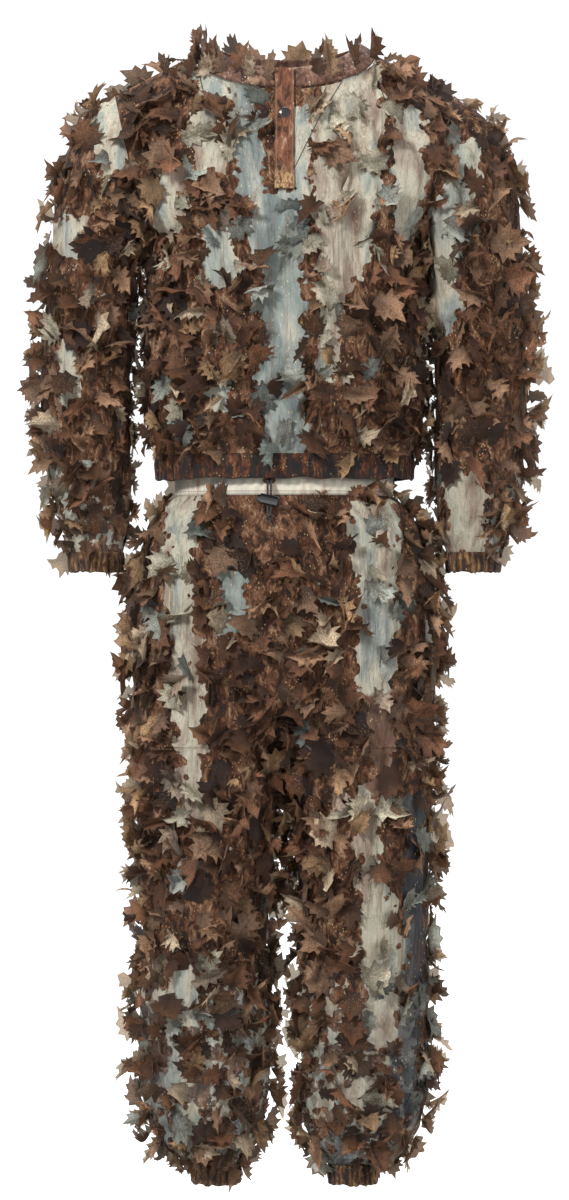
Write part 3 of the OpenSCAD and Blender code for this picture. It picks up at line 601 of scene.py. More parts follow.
LEG_STRIPS = [
    (0.35, [(-577, -165, -123), (-630, -168, -126), (-686, -164, -126), (-742, -160, -123), (-812, -154, -122),
            (-882, -151, -118), (-945, -143, -112), (-1008, -140, -115)]),
    (0.80, [(-683, -86, -60), (-777, -84, -62)]),
    (0.30, [(-1010, -144, -112), (-1045, -144, -112)]),
    (0.55, [(-1108, -143, -111), (-1144, -143, -112)]),
    (0.50, [(-1240, -158, -128), (-1325, -156, -122)]),
    (0.60, [(-1448, -148, -118), (-1480, -148, -118)]),
    (0.45, [(-613, 95, 151), (-686, 98, 157), (-770, 101, 154), (-868, 104, 146)]),
    (-0.15, [(-874, 112, 150), (-930, 118, 146), (-1004, 120, 140)]),
    (1.45, [(-1022, 166, 190), (-1240, 166, 190), (-1456, 158, 182)]),
    (0.35, [(-1008, 106, 123), (-1092, 101, 132), (-1172, 109, 140)]),
    (0.40, [(-1158, 115, 151), (-1246, 109, 160), (-1351, 115, 148)]),
    (0.20, [(-1408, 92, 126), (-1440, 92, 124)]),
    (0.90, [(-1500, 66, 94), (-1530, 68, 92)]),
]


def strip_shares(points, strips):
    """How pale the print is at each point, from 0 to 1, and its share of blue. The back has the mirror image."""
    x = np.where(points[..., 1] < 0, points[..., 0], -points[..., 0]) / MM
    z = points[..., 2] / MM
    x = x + 7 * smooth_noise(x / 22, z / 20, 0, 3)
    pale, blue = np.zeros(x.shape), np.full(x.shape, 0.5)
    for hue, rows in strips:
        table = np.array(rows, float)[::-1]
        low, high = (np.interp(z, table[:, 0], table[:, k]) for k in (1, 2))
        inside = np.minimum(x - low, high - x)
        ends = np.minimum(z - table[0, 0], table[-1, 0] - z)
        share = np.clip((np.minimum(inside, ends + 4) + 14) / 26, 0, 1)
        blue = np.where(share > pale, hue, blue)
        pale = np.maximum(pale, share)
    return pale, blue


# ---------------------------------------------------------------- cloth pieces


GATHER_REACH = 0.05


def wrinkle(grid, normals, edge, gather_z=None, centre=0.0, seed=0, amount=1.0):
    """Soft upright folds, small crumples and, near a band, gathers; all fade out at the seams."""
    x, y, z = (grid[..., k] for k in range(3))
    across = (x + y * 0.6)
    folds = 0.0042 * smooth_noise(across / 0.034, z / 0.15, y / 0.12, seed) * amount
    crumple = 0.0026 * smooth_noise(across / 0.013, z / 0.030, y / 0.05, seed + 1) * amount
    fine = 0.0011 * smooth_noise(across / 0.006, z / 0.012, y / 0.02, seed + 2) * amount
    crease = smooth_noise(across / 0.030, z / 0.19, y / 0.10, seed + 5)
    total = folds + crumple + fine - 0.0042 * np.exp(-(crease / 0.14) ** 2) * amount
    if gather_z is not None:
        near = np.exp(-np.abs(z - gather_z) / GATHER_REACH)
        reach = np.hypot(x - centre, y) * np.arctan2(y, x - centre)
        wander = 3 * smooth_noise(reach / 0.03, z / 0.06, 0, seed + 3)
        total = total + 0.0030 * near * np.sin(reach / 0.0024 + wander)
    return grid + normals * (total * edge)[..., None]


def edge_window(rows, columns, top, bottom, left, right):
    """1 inside a grid and 0 at its edges, over a width in rows or columns; a width of 0 leaves that edge."""
    i = np.arange(rows)[:, None]
    j = np.arange(columns)[None, :]
    window = np.ones((rows, columns))
    for distance, width in ((i, top), (rows - 1 - i, bottom), (j, left), (columns - 1 - j, right)):
        if width:
            window = window * smoothstep(distance + 0 * window, 0, width)
    return window


def cloth_piece(name, grid, strips, closed, sheer, node):
    """A panel of mesh; sheer is its most, and the depths below the neck where it starts and is full, or None."""
    rest = grid.reshape(-1, 3)
    pale, blue = strip_shares(rest, strips)
    thin = sheer[0] * smoothstep(-rest[:, 2], *sheer[1:]) if sheer else np.zeros(len(rest))
    pale = np.maximum(pale, thin * 1.4)
    obj = add_mesh(name, rest, grid_faces(*grid.shape[:2], closed),
                   {"rest": rest, "pale": pale, "hue": blue, "sheer": thin})
    obj.data.materials.append(MATERIALS["mesh"])
    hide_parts(node)
    return obj


# ---------------------------------------------------------------- leaves

# The right half of each leaf's outline, from the stalk at 0 to the tip at 1
HALF_LEAVES = {
    "maple": [(0.03, 0), (0.05, 0.13), (0.24, 0.02), (0.20, 0.15), (0.46, 0.12), (0.36, 0.25), (0.56, 0.37),
              (0.38, 0.41), (0.50, 0.62), (0.32, 0.56), (0.20, 0.60), (0.27, 0.78), (0.12, 0.77), (0.0, 1.0)],
    "holly": [(0.03, 0), (0.12, 0.06), (0.30, 0.10), (0.18, 0.22), (0.35, 0.36), (0.19, 0.43), (0.31, 0.60),
              (0.15, 0.66), (0.18, 0.83), (0.07, 0.84), (0.0, 1.0)],
    "oak": [(0.03, 0), (0.07, 0.12), (0.27, 0.13), (0.14, 0.26), (0.45, 0.33), (0.34, 0.41), (0.43, 0.52),
            (0.17, 0.50), (0.37, 0.70), (0.27, 0.74), (0.30, 0.85), (0.11, 0.79), (0.0, 1.0)],
    "plane": [(0.04, 0), (0.28, 0.04), (0.23, 0.19), (0.54, 0.28), (0.36, 0.38), (0.46, 0.57), (0.24, 0.54),
              (0.27, 0.75), (0.12, 0.73), (0.0, 1.0)],
    "star": [(0.05, 0), (0.34, -0.02), (0.27, 0.15), (0.55, 0.18), (0.42, 0.33), (0.60, 0.50), (0.36, 0.53),
             (0.41, 0.74), (0.19, 0.70), (0.0, 0.95)],
    "shard": [(0.05, 0), (0.22, 0.05), (0.16, 0.20), (0.24, 0.40), (0.10, 0.52), (0.15, 0.72), (0.0, 1.0)],
}
LEAF_PAIRS = [("maple", "maple"), ("holly", "holly"), ("oak", "oak"), ("plane", "plane"), ("star", "star"),
              ("maple", "shard"), ("holly", "oak"), ("plane", "star"), ("shard", "star")]


def leaf_template(right, left, k):
    outline = HALF_LEAVES[right] + [(-a, b) for a, b in HALF_LEAVES[left][-2::-1]]
    jitter = 0.018
    outline = [(a + jitter * (2 * hash01(i, k) - 1), b + jitter * (2 * hash01(i, k + 50) - 1) * (i > 0))
               for i, (a, b) in enumerate(outline)]
    dense = []
    for (a0, b0), (a1, b1) in zip(outline, outline[1:] + outline[:1]):
        steps = 2 if math.hypot(a1 - a0, b1 - b0) > 0.13 else 1
        dense += [(a0 + (a1 - a0) * t / steps, b0 + (b1 - b0) * t / steps) for t in range(steps)]
    inner = [(a + 0.01, b) for a in np.arange(-0.60, 0.62, 0.115) for b in np.arange(0.03, 1.0, 0.115)]
    ring = np.array(dense)

    def inside(p):
        x, y = p
        crossings = 0
        for (x0, y0), (x1, y1) in zip(ring, np.roll(ring, -1, axis=0)):
            if (y0 > y) != (y1 > y) and x < (x1 - x0) * (y - y0) / (y1 - y0) + x0:
                crossings += 1
        return crossings % 2 == 1

    def margin(p):
        a, b = ring, np.roll(ring, -1, axis=0)
        d = b - a
        t = np.clip(((p - a) * d).sum(1) / (d * d).sum(1), 0, 1)
        return np.linalg.norm(a + t[:, None] * d - p, axis=1).min()

    kept = [p for p in inner if inside(p) and margin(np.array(p)) > 0.045]
    points = [Vector(p) for p in dense + kept]
    count = len(dense)
    loops = [(i, (i + 1) % count) for i in range(count)]
    out = delaunay_2d_cdt(points, loops, [], 1, 1e-5)
    flat = np.array([tuple(v) for v in out[0]])
    faces = [f for f in out[2] if len(f) == 3]
    margins = np.array([0 if i < count else margin(p) for i, p in enumerate(flat)])
    return flat, np.array(faces), margins


TEMPLATES = []
STAND_OFF = 0.036           # the most that a leaf stands off its cloth
ANKLE_FRINGE_Z = -1.505     # below this leaves hang straight down over the ankle band
LEAF_SIZES = (0.033, 0.060)
UPSIDE_DOWN = 0.30          # the share of leaves sewn on with the tip upwards
FACING_X = 0.1995           # between the body's side and the sleeve beside it

# How often each colour is picked, and the colour
TINTS = [(0.17, DARK), (0.25, CHOCOLATE), (0.20, BROWN), (0.13, MAUVE), (0.12, srgb("8f7058")), (0.08, TAN),
         (0.05, srgb("b8a78f"))]


def pick_tints(r):
    edges = np.cumsum([w for w, _ in TINTS])
    edges /= edges[-1]
    colours = np.array([c for _, c in TINTS])
    return colours[np.clip(np.searchsorted(edges, r), 0, len(TINTS) - 1)]


def unit(v):
    return v / np.maximum(np.linalg.norm(v, axis=-1, keepdims=True), 1e-9)


def plant(name, place, normal, size, spin, lean, fold, bend, twist, kind, tint, thin, key):
    """Leaf pieces at the places given, each turned about the surface's normal and lifted by its lean."""
    down = unit(-UP + normal * (normal @ UP)[:, None] + np.array([1e-6, 0, 0]))
    side = np.cross(down, normal)
    along = down * np.cos(spin)[:, None] + side * np.sin(spin)[:, None]
    across = np.cross(along, normal)
    points, faces, tints_with_painted_shade, marks, edges, thins = [], [], [], [], [], []
    offset = 0
    for t, (flat, tris, margin) in enumerate(TEMPLATES):
        chosen = np.nonzero(kind == t)[0]
        if not len(chosen):
            continue
        c = chosen[:, None]
        a, b = flat[None, :, 0] * (0.70 + 0.32 * key[c]), flat[None, :, 1] - 0.10
        x, y = a * size[c], b * size[c]
        x, z = x * np.cos(fold[c]), np.abs(x) * np.sin(fold[c])
        z = z + 0.035 * size[c] * np.sin(9 * a + 5 * key[c]) * np.sin(7 * b + 11 * key[c])
        curve = bend[c] / size[c]
        curve = np.where(np.abs(curve) < 1e-3, 1e-3, curve)
        sine, cosine = np.sin(curve * y), np.cos(curve * y)
        y, z = sine / curve - z * sine, (1 - cosine) / curve + z * cosine
        turn = twist[c] * b
        x, z = x * np.cos(turn) - z * np.sin(turn), x * np.sin(turn) + z * np.cos(turn)
        y, z = y * np.cos(lean[c]) - z * np.sin(lean[c]), y * np.sin(lean[c]) + z * np.cos(lean[c])
        z = STAND_OFF * np.tanh(np.where(z < 0, z * 0.35, z) / STAND_OFF) + 0.0015
        world = (place[chosen][:, None, :] + x[..., None] * across[chosen][:, None, :]
                 + y[..., None] * along[chosen][:, None, :] + z[..., None] * normal[chosen][:, None, :])
        n, m = world.shape[:2]
        points.append(world.reshape(-1, 3))
        faces.append((tris[None] + offset + (np.arange(n) * m)[:, None, None]).reshape(-1, 3))
        # Painted shade and light: each leaf's colour is darkened where it lies close to the cloth and lightened where
        # it stands off it, as shade and light would do there.
        painted_light_and_shade = 0.30 + 0.98 * np.clip(z / 0.020, 0, 1)
        colours = np.concatenate([tint[chosen][:, None, :] * painted_light_and_shade[..., None], np.ones((n, m, 1))], 2)
        tints_with_painted_shade.append(colours.reshape(-1, 4))
        mark = (flat[None, :, 0], flat[None, :, 1], key[c] * 7)
        marks.append(np.stack([np.broadcast_to(part, (n, m)) for part in mark], -1).reshape(-1, 3))
        edges.append(np.tile(margin, n))
        thins.append(np.repeat(thin[chosen], m))
        offset += n * m
    obj = add_mesh(name, np.concatenate(points), np.concatenate(faces),
                   {"tint": np.concatenate(tints_with_painted_shade), "leaf": np.concatenate(marks), "edge": np.concatenate(edges),
                    "thin": np.concatenate(thins)})
    obj.data.materials.append(MATERIALS["leaf"])
    return obj


def facing_gap(place, out):
    """Where a sleeve and the body's side face each other closely."""
    side = np.sign(place[:, 0])
    arm = (np.abs(place[:, 0]) > 0.170) & (place[:, 2] < -0.235) & (place[:, 2] > -0.70)
    sleeve_inside = arm & (np.abs(place[:, 0]) > FACING_X) & (out[:, 0] * side < -0.60)
    body_side = arm & (np.abs(place[:, 0]) <= FACING_X) & (out[:, 0] * side > 0.80) & (place[:, 2] > -0.57)
    return sleeve_inside | body_side


def wanted(place, out):
    """No leaves on the placket, over the cord lock, or over the middle of the hem in front."""
    front = out[:, 1] < 0
    x, z = place[:, 0], place[:, 2]
    placket = front & (np.abs(x) < 0.032) & (z > -0.192)
    lock = front & (x > -0.062) & (x < 0.020) & (z < -0.574) & (z > -0.660)
    hem = front & (x > -0.150) & (x < 0.085) & (z < -0.524) & (z > -0.560) & (np.abs(place[:, 1]) > 0.104)
    return ~(placket | lock | hem)


def leaf_spots(grid, strips, seed, row_gap=0.0242, leaf_gap=0.0248, closed=False, top=0.02, bottom=0.01):
    """Places for leaves on a grid: rows a set distance apart, leaves at jittered distances along each row."""
    rng = np.random.default_rng(seed)
    normals = grid_normals(grid, closed)
    heights = np.concatenate([[0], np.cumsum(np.linalg.norm(np.diff(grid, axis=0), axis=2).mean(1))])
    total = heights[-1]
    places, outs = [], []
    for h in np.arange(top, total - bottom, row_gap):
        base = np.interp(h, heights, np.arange(len(heights)))
        row = int(np.clip(round(base), 0, len(grid) - 1))
        line = np.vstack([grid[row], grid[row, :1]]) if closed else grid[row]
        lengths = np.concatenate([[0], np.cumsum(np.linalg.norm(np.diff(line, axis=0), axis=1))])
        count = max(int(round(lengths[-1] / leaf_gap)), 1)
        at = (np.arange(count) + rng.uniform(0, 1) + rng.uniform(-0.42, 0.42, count)) / count * lengths[-1]
        at = at % lengths[-1] if closed else np.clip(at % lengths[-1], 0.004, lengths[-1] - 0.004)
        column = np.interp(at, lengths, np.arange(len(lengths)))
        shift = rng.uniform(-0.5, 0.5, count) * row_gap / max(total, 1e-6) * len(grid)
        up = np.clip(base + shift, 0, len(grid) - 1.001)
        i0, j0 = up.astype(int), column.astype(int)
        i1 = np.minimum(i0 + 1, len(grid) - 1)
        j1 = (j0 + 1) % grid.shape[1] if closed else np.minimum(j0 + 1, grid.shape[1] - 1)
        j0 = j0 % grid.shape[1]
        fi, fj = (up - i0)[:, None], (column - np.floor(column))[:, None]

        def blendof(g):
            upper, lower = (g[i, j0] * (1 - fj) + g[i, j1] * fj for i in (i0, i1))
            return upper * (1 - fi) + lower * fi

        places.append(blendof(grid))
        outs.append(unit(blendof(normals)))
    place, out = np.concatenate(places), np.concatenate(outs)
    pale, blue = strip_shares(place, strips)
    roll = rng.uniform(0, 1, len(place))
    keep = (roll > np.clip((pale - 0.30) * 2.6, 0, 0.80)) & wanted(place, out)
    return place[keep], out[keep], pale[keep], blue[keep], rng


def leaves_on(name, grid, strips, seed, closed=False, lighter=0.0, **spacing):
    place, normal, pale, blue, rng = leaf_spots(grid, strips, seed, closed=closed, **spacing)
    n = len(place)
    size = rng.uniform(*LEAF_SIZES, n)
    up = rng.uniform(0, 1, n) < UPSIDE_DOWN
    spin = rng.normal(0, 0.85, n) + np.where(up, np.pi, 0)
    lean = np.radians(np.clip(rng.gamma(2.8, 12.0, n), 3, 80))
    fold = rng.uniform(-0.5, 1.30, n)
    bend = rng.uniform(-0.9, 1.9, n)
    twist = rng.normal(0, 0.9, n)
    kind = rng.integers(0, len(TEMPLATES), n)
    tint = pick_tints(rng.uniform(0, 1, n))
    tint = tint * rng.uniform(0.72, 1.30, n)[:, None]
    border = rng.uniform(0, 1, n) < np.where(pale > 0.55, 0.86, np.where(pale > 0.20, 0.45, 0.02))
    choice = rng.integers(0, 3, n)
    cool, warm = np.array([BLUE_GREY, PALE_BLUE, PALE_BLUE])[choice], np.array([CREAM, CREAM, BEIGE])[choice]
    light = np.where(blue[:, None] > rng.uniform(0.2, 0.8, n)[:, None], cool, warm) * rng.uniform(0.8, 1.1, n)[:, None]
    tint = np.where(border[:, None], light, tint)
    lean = np.where(border, lean * 0.2, lean)
    size = np.where(border, size * 0.95, size)
    tight = facing_gap(place, normal)
    lean = np.where(tight, lean * 0.15, lean)
    size = np.where(tight, size * 0.75, size)
    bend = np.where(tight, bend * 0.3, bend)
    lean = np.where(place[:, 2] < -1.20, lean * 0.75, lean)
    facing = np.abs(normal[:, 1])
    outline = (facing < 0.40) & ~tight
    size = np.where(outline, size * 1.12, size)
    low = place[:, 2] < ANKLE_FRINGE_Z
    spin = np.where(low, 0.3 * rng.normal(0, 1, n), spin)
    lean = np.where(low, 0.12, lean)
    size = np.where(low, 0.046, size)
    # Painted light: on cloth that faces sideways, at the outline, some leaves are given a light tan colour for light
    # shining through them from behind; they are also made more see-through.
    painted_backlight_leaves = (rng.uniform(0, 1, n) < 0.55 * smoothstep(-facing, -0.55, -0.15)) & ~border
    tint = np.where(painted_backlight_leaves[:, None], np.array([TAN]) * rng.uniform(0.6, 1.0, n)[:, None], tint)
    thin = rng.uniform(0.0, 0.04, n) + 0.18 * painted_backlight_leaves + lighter * rng.uniform(0, 1, n)
    return plant(name, place, normal, size, spin, lean, fold, bend, twist, kind, tint, thin, rng.uniform(0, 1, n))


# ---------------------------------------------------------------- gathered bands


BAND_THICKNESS = 0.001


def band_piece(name, centre, a, b, z_low, z_high, fold, material, slot, nodes, pleats, depth, fold_at_top=False,
               seed=0):
    """A strip folded over its elastic and gathered by it: outer wall, rounded fold and inner wall, each with a
    thickness. centre is in x; a and b are the half width and half depth, and depth is the pleats'."""
    steps = pleats * 8
    t = np.linspace(0, 2 * np.pi, steps, endpoint=False)
    open_z, fold_z = (z_low, z_high) if fold_at_top else (z_high, z_low)
    towards = np.sign(fold_z - open_z)
    span = abs(fold_z - open_z) - fold / 2
    profile = [(0.0, open_z + towards * span * k / 8) for k in range(9)]
    for k in range(1, 6):
        angle = np.pi * k / 6
        profile.append((fold / 2 - fold / 2 * np.cos(angle), open_z + towards * (span + fold / 2 * np.sin(angle))))
    profile += [(fold, open_z + towards * span * (8 - k) / 8) for k in range(9)]
    rows, painted_groove_shades = [], []
    for inset, z in profile:
        share = abs(z - open_z) / abs(fold_z - open_z)
        wave = np.sin(pleats * t + 1.6 * smooth_noise(t * 4, share * 1.5, 0, seed) + 0.6 * np.sin(5 * t + share * 3))
        wave = 0.5 + 0.38 * wave + 0.30 * smooth_noise(t * pleats / 3.1, share * 3, 0, seed + 1)
        swell = 0.45 + 0.55 * np.sin(np.pi * np.clip(share, 0, 1) ** 0.8)
        r = depth * wave * swell * (1 - 1.4 * inset / fold)
        # Painted shade: a mask that is 1 in the pleats' grooves and darkens the band there.
        painted_groove_shades.append(smoothstep(0.55 - wave, 0.0, 0.40))
        dip = 0.0018 * smooth_noise(t * 7, 2.0, 0, seed + 2) * smoothstep(share, 0.2, 1.0)
        rows.append(np.stack([centre + (a - inset + r) * np.cos(t), (b - inset + r) * np.sin(t), z + dip], -1))
    step = -1 if fold_at_top else 1
    return walled(name, np.array(rows[::step]), BAND_THICKNESS, material, nodes,
                  extra={"painted_groove_shade": np.array(painted_groove_shades[::step]).ravel()})


def walled(name, grid, thick, material, nodes, closed=True, extra=None):
    """A closed piece: the grid's surface with a thickness inwards."""
    rest = grid.reshape(-1, 3)
    inner = rest - grid_normals(grid, closed).reshape(-1, 3) * thick
    rows, columns = grid.shape[:2]
    n = len(rest)
    faces = grid_faces(rows, columns, closed)
    j = np.arange(columns if closed else columns - 1)
    k = (j + 1) % columns
    last = (rows - 1) * columns
    parts = [faces, faces[:, ::-1] + n, np.stack([k, j, j + n, k + n], -1)[:, ::-1],
             np.stack([j + last, k + last, k + last + n, j + last + n], -1)[:, ::-1]]
    if not closed:
        i = np.arange(rows - 1) * columns
        parts += [np.stack([i, i + columns, i + columns + n, i + n], -1)[:, ::-1],
                  np.stack([i + columns - 1, i + 2 * columns - 1, i + 2 * columns - 1 + n, i + columns - 1 + n],
                           -1)]
    attributes = {"rest": np.concatenate([rest, rest])}
    for key, value in (extra or {}).items():
        attributes[key] = np.concatenate([value, value])
    obj = add_mesh(name, np.concatenate([rest, inner]), np.concatenate(parts), attributes)
    obj.data.materials.append(material)
    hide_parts(*nodes)
    return obj


def elastic_piece(name, centre, a, b, z_low, z_high, nodes, ribs):
    """A woven elastic ring that lies inside a band, with a slight gather."""
    t = np.linspace(0, 2 * np.pi, ribs * 6, endpoint=False)
    rows = []
    for share in np.linspace(0, 1, 7):
        r = 0.0002 * np.sin(ribs * t + share)
        z = z_high + (z_low - z_high) * share + 0 * t
        rows.append(np.stack([centre + (a + r) * np.cos(t), (b + r) * np.sin(t), z], -1))
    return walled(name, np.array(rows), 0.0010, MATERIALS["elastic"], nodes)


STAGE_GLOW = 0.80
WAIST_STITCH_Z = -0.5915
FLOOR_Z = -1.60
FLOOR_RADIUS, COVE_RADIUS, WALL_HEIGHT = 40, 10, 60
WORLD_LIGHT = 0.34
MATERIALS = {}


def make_stage():
    """A round pale floor that curves up into a pale wall all around."""
    profile = [(0.0005, 0.0), (6.0, 0.0), (FLOOR_RADIUS, 0.0)]
    for angle in (math.radians(k) for k in range(10, 91, 10)):
        profile.append((FLOOR_RADIUS + COVE_RADIUS * math.sin(angle), COVE_RADIUS - COVE_RADIUS * math.cos(angle)))
    profile.append((FLOOR_RADIUS + COVE_RADIUS, WALL_HEIGHT))
    turn = np.linspace(0, 2 * np.pi, 96, endpoint=False)
    grid = np.array([np.stack([radius * np.cos(turn), radius * np.sin(turn), FLOOR_Z + z + 0 * turn], -1)
                     for radius, z in profile])
    stage = add_mesh("stage", grid.reshape(-1, 3), grid_faces(len(profile), len(turn), True)[:, ::-1])
    stage.data.materials.append(stage_white())
    stage.visible_diffuse = False
    stage.visible_shadow = False


def make_lights():
    world = bpy.data.worlds.new("studio")
    world.use_nodes = True
    world.node_tree.nodes["Background"].inputs["Color"].default_value = (1, 1, 1, 1)
    world.node_tree.nodes["Background"].inputs["Strength"].default_value = WORLD_LIGHT
    bpy.context.scene.world = world
    middle = (0, 0, -0.7)
    area_light("key", (-2.2, -3.6, 1.9), middle, (0.9, 0.9), 222)
    area_light("fill", (2.8, -3.4, 0.4), middle, (1.6, 1.8), 60)
    area_light("top", (0, 0.6, 2.8), middle, (2.0, 1.6), 80)


# ---------------------------------------------------------------- drawcord, knot and cord lock

TAIL_RIGHT = mm([[-8, -90.3, -577], [-12, -90.6, -577], [-15, -92.4, -577], [-17.4, -96, -577.2],
                 [-18.6, -100, -577.8], [-18.8, -104.5, -579.4], [-18.8, -108.5, -582], [-18.8, -111.5, -585.5],
                 [-18.8, -113, -590], [-18.8, -113, -596], [-18.8, -113, -604], [-18.8, -113, -612],
                 [-18.8, -113, -617], [-19.2, -113, -621], [-19.4, -113, -624]])
TAIL_LEFT = mm([[-34, -88, -577], [-30, -88.7, -577], [-27, -90.8, -577], [-24.6, -95.2, -577.2],
                [-23.4, -100, -577.8], [-23.2, -104.5, -579.4], [-23.2, -108.5, -582], [-23.2, -111.5, -585.5],
                [-23.2, -113, -590], [-23.2, -113, -596], [-23.2, -113, -604], [-23.2, -113, -612],
                [-23.2, -113, -617], [-22.8, -113, -621], [-22.6, -113, -624]])
CORD_D = 0.003
KNOT = np.array([-0.021, -0.113, -0.628])


def cord_curve(name, route, diameter):
    curve = bpy.data.curves.new(name, "CURVE")
    curve.dimensions = "3D"
    curve.bevel_depth = diameter / 2
    curve.bevel_resolution = 4
    curve.resolution_u = 6
    curve.use_fill_caps = True
    spline = curve.splines.new("POLY")
    spline.points.add(len(route) - 1)
    for point, place in zip(spline.points, route):
        point.co = (*place, 1)
    obj = bpy.data.objects.new(name, curve)
    bpy.context.scene.collection.objects.link(obj)
    return obj


def tube_mesh(route, radius, sides=12, closed=False):
    """Points and faces of a round tube along a route; radius may change along it."""
    route = np.asarray(route, float)
    n = len(route)
    radius = np.broadcast_to(radius, n)
    tangent = np.roll(route, -1, 0) - np.roll(route, 1, 0) if closed else np.gradient(route, axis=0)
    tangent = unit(tangent)
    ref = np.array([0.31, 0.23, 0.92])
    u = unit(np.cross(tangent, ref))
    v = np.cross(tangent, u)
    t = np.linspace(0, 2 * np.pi, sides, endpoint=False)
    points = (route[:, None] + radius[:, None, None] * (np.cos(t)[None, :, None] * u[:, None]
                                                        + np.sin(t)[None, :, None] * v[:, None])).reshape(-1, 3)
    i, j = np.meshgrid(np.arange(n if closed else n - 1), np.arange(sides), indexing="ij")
    k, m = (i + 1) % n, (j + 1) % sides
    faces = np.stack([i * sides + j, i * sides + m, k * sides + m, k * sides + j], -1).reshape(-1, 4).tolist()
    if not closed:
        faces += [list(range(sides))[::-1], [(n - 1) * sides + q for q in range(sides)]]
    return points, faces


def merged(name, parts):
    points, faces, start = [], [], 0
    for p, f in parts:
        points.append(p)
        faces += [[start + q for q in face] for face in f]
        start += len(p)
    points = np.concatenate(points)
    mesh = bpy.data.meshes.new(name)
    mesh.from_pydata(points.tolist(), [], faces)
    mesh.attributes.new("rest", "FLOAT_VECTOR", "POINT").data.foreach_set("vector", points.astype(np.float32).ravel())
    mesh.shade_smooth()
    obj = bpy.data.objects.new(name, mesh)
    bpy.context.scene.collection.objects.link(obj)
    return obj


def make_knot():
    """The two tails knotted together: a wrapped overhand knot with two short frayed ends."""
    t = np.linspace(0, 2 * np.pi, 90, endpoint=False)
    swing = 1.25 + 0.35 * np.cos(3 * t)
    wrap = np.stack([0.0026 * np.cos(2 * t) * swing, 0.0024 * np.sin(2 * t) * swing, 0.0024 * np.sin(3 * t)], -1) + KNOT
    parts = [tube_mesh(wrap, 0.00145, 12, True)]
    for k in (-1, 1):
        ends = KNOT + np.array([[0.0012 * k, 0, 0.003], [0.0013 * k, 0, 0], [0.0016 * k, 0, -0.003],
                                [0.0019 * k, -0.0004, -0.0055], [0.0021 * k, -0.0005, -0.0078]])
        parts.append(tube_mesh(ends, np.array([0.0013, 0.0013, 0.0013, 0.00135, 0.0011]), 12))
    obj = merged("cord_knot", parts)
    obj.data.materials.append(MATERIALS["cord"])
    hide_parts("drawcord_knot")
    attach(obj, "trousers")
    return obj


def make_lock_spring():
    """The cord lock's spring: a fixed coil; in the real lock it is pressed together as the button goes in."""
    axis = np.array([0.978148, 0, -0.207912])
    middle = np.array([-0.021, -0.113, -0.605])
    turn = np.linspace(0, 8 * np.pi, 160)
    up = np.cross(axis, [0, 1, 0])
    route = (middle + np.linspace(0.0061, 0.0109, 160)[:, None] * axis
             + 0.004 * (np.cos(turn)[:, None] * np.array([0, 1, 0]) + np.sin(turn)[:, None] * up))
    spring = merged("lock_coil", [tube_mesh(route, 0.0003, 8)])
    spring.data.materials.append(MATERIALS["steel"])
    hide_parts("lock_spring")
    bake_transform(spring)


def make_cords():
    knot = make_knot()
    for name, route, length in (("cord_tail_right", TAIL_RIGHT, 0.069), ("cord_tail_left", TAIL_LEFT, 0.071)):
        tail = cord_curve(name, route, CORD_D)
        tail.data.materials.append(MATERIALS["cord"])
        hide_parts("draw" + name)
        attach(tail, "trousers")


# ---------------------------------------------------------------- building


def ramp_points(start, slope):
    start, slope = np.array(start, float), np.array(slope, float)
    return tuple(start), tuple(start + slope / (slope @ slope))


def make_panel(names, node, grid, strips, folds, leaf_seed, spacing, blends, closed=False, sheer=None):
    """One panel of cloth and its leaves, each with its transform baked in."""
    edges = (3, 3, 0, 0) if closed else (2, 2, 3, 3)
    grid = wrinkle(grid, grid_normals(grid, closed), edge_window(*grid.shape[:2], *edges), **folds)
    cloth = cloth_piece(names[0], grid, strips, closed, sheer, node)
    leaves = leaves_on(names[1], grid, strips, leaf_seed, closed, **spacing)
    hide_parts(node + "_leaves")
    for piece, blend in zip((cloth, leaves), blends):
        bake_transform(piece)


def make_limb(node, grid, strips, folds, leaf_seed, blend, sheer, bottom=0.01):
    """One length of a sleeve or a leg, all round."""
    make_panel((node + "_cloth", node + "_foliage"), node, grid, strips, dict(folds, amount=1.15), leaf_seed,
               dict(top=0.012, bottom=bottom, lighter=0.05), (blend, blend),
               True, sheer)


def make_jacket_body():
    for side_name, side in SIDES:
        for face_name, face in FACES:
            name, key = f"jacket_{face_name}_{side_name}", 3 * side + face
            blends = [("jacket", f"{side_name}_sleeve", *ramp_points((0.153 * side, 0, PIT_Z), (8 * side, 0, rise)))
                      for rise in (0.5, 1.6)]
            make_panel((name, name + "_leaves"), f"jacket_{face_name}", torso_grid(side, face, 104, 58), FRONT_STRIPS,
                       dict(gather_z=HEM_Z, seed=10 + key), 100 + key, dict(bottom=0.001), blends)


def make_sleeves():
    for side_name, side in SIDES:
        sleeve = f"{side_name}_sleeve"
        shoulder = ("jacket", sleeve, *ramp_points((0.18236 * side, 0, -0.23451), (29.5 * side, 0, -4.12)))
        elbow = (sleeve, f"{side_name}_forearm", (0, 0, ELBOW_Z), (0, 0, -0.50))
        parts = (("upper", None, ELBOW_Z, None, shoulder, (0.36, 0.34), f"jacket_front_{side_name}"),
                 ("lower", ELBOW_Z, None, CUFF_TOP_Z, elbow, (0.40, 0.36), f"{side_name}_cuff"))
        for k, (part, top, bottom, gather_z, blend, flat, rests_on) in enumerate(parts):
            key = 3 * side + k
            make_limb(f"{side_name}_{part}_sleeve", tube_grid(SLEEVE, side, 62, 80, top, bottom), SLEEVE_STRIPS,
                      dict(gather_z=gather_z, centre=CUFF_X * side, seed=20 + key), 130 + key, blend,
                      (0.22, 0.52, 0.60))


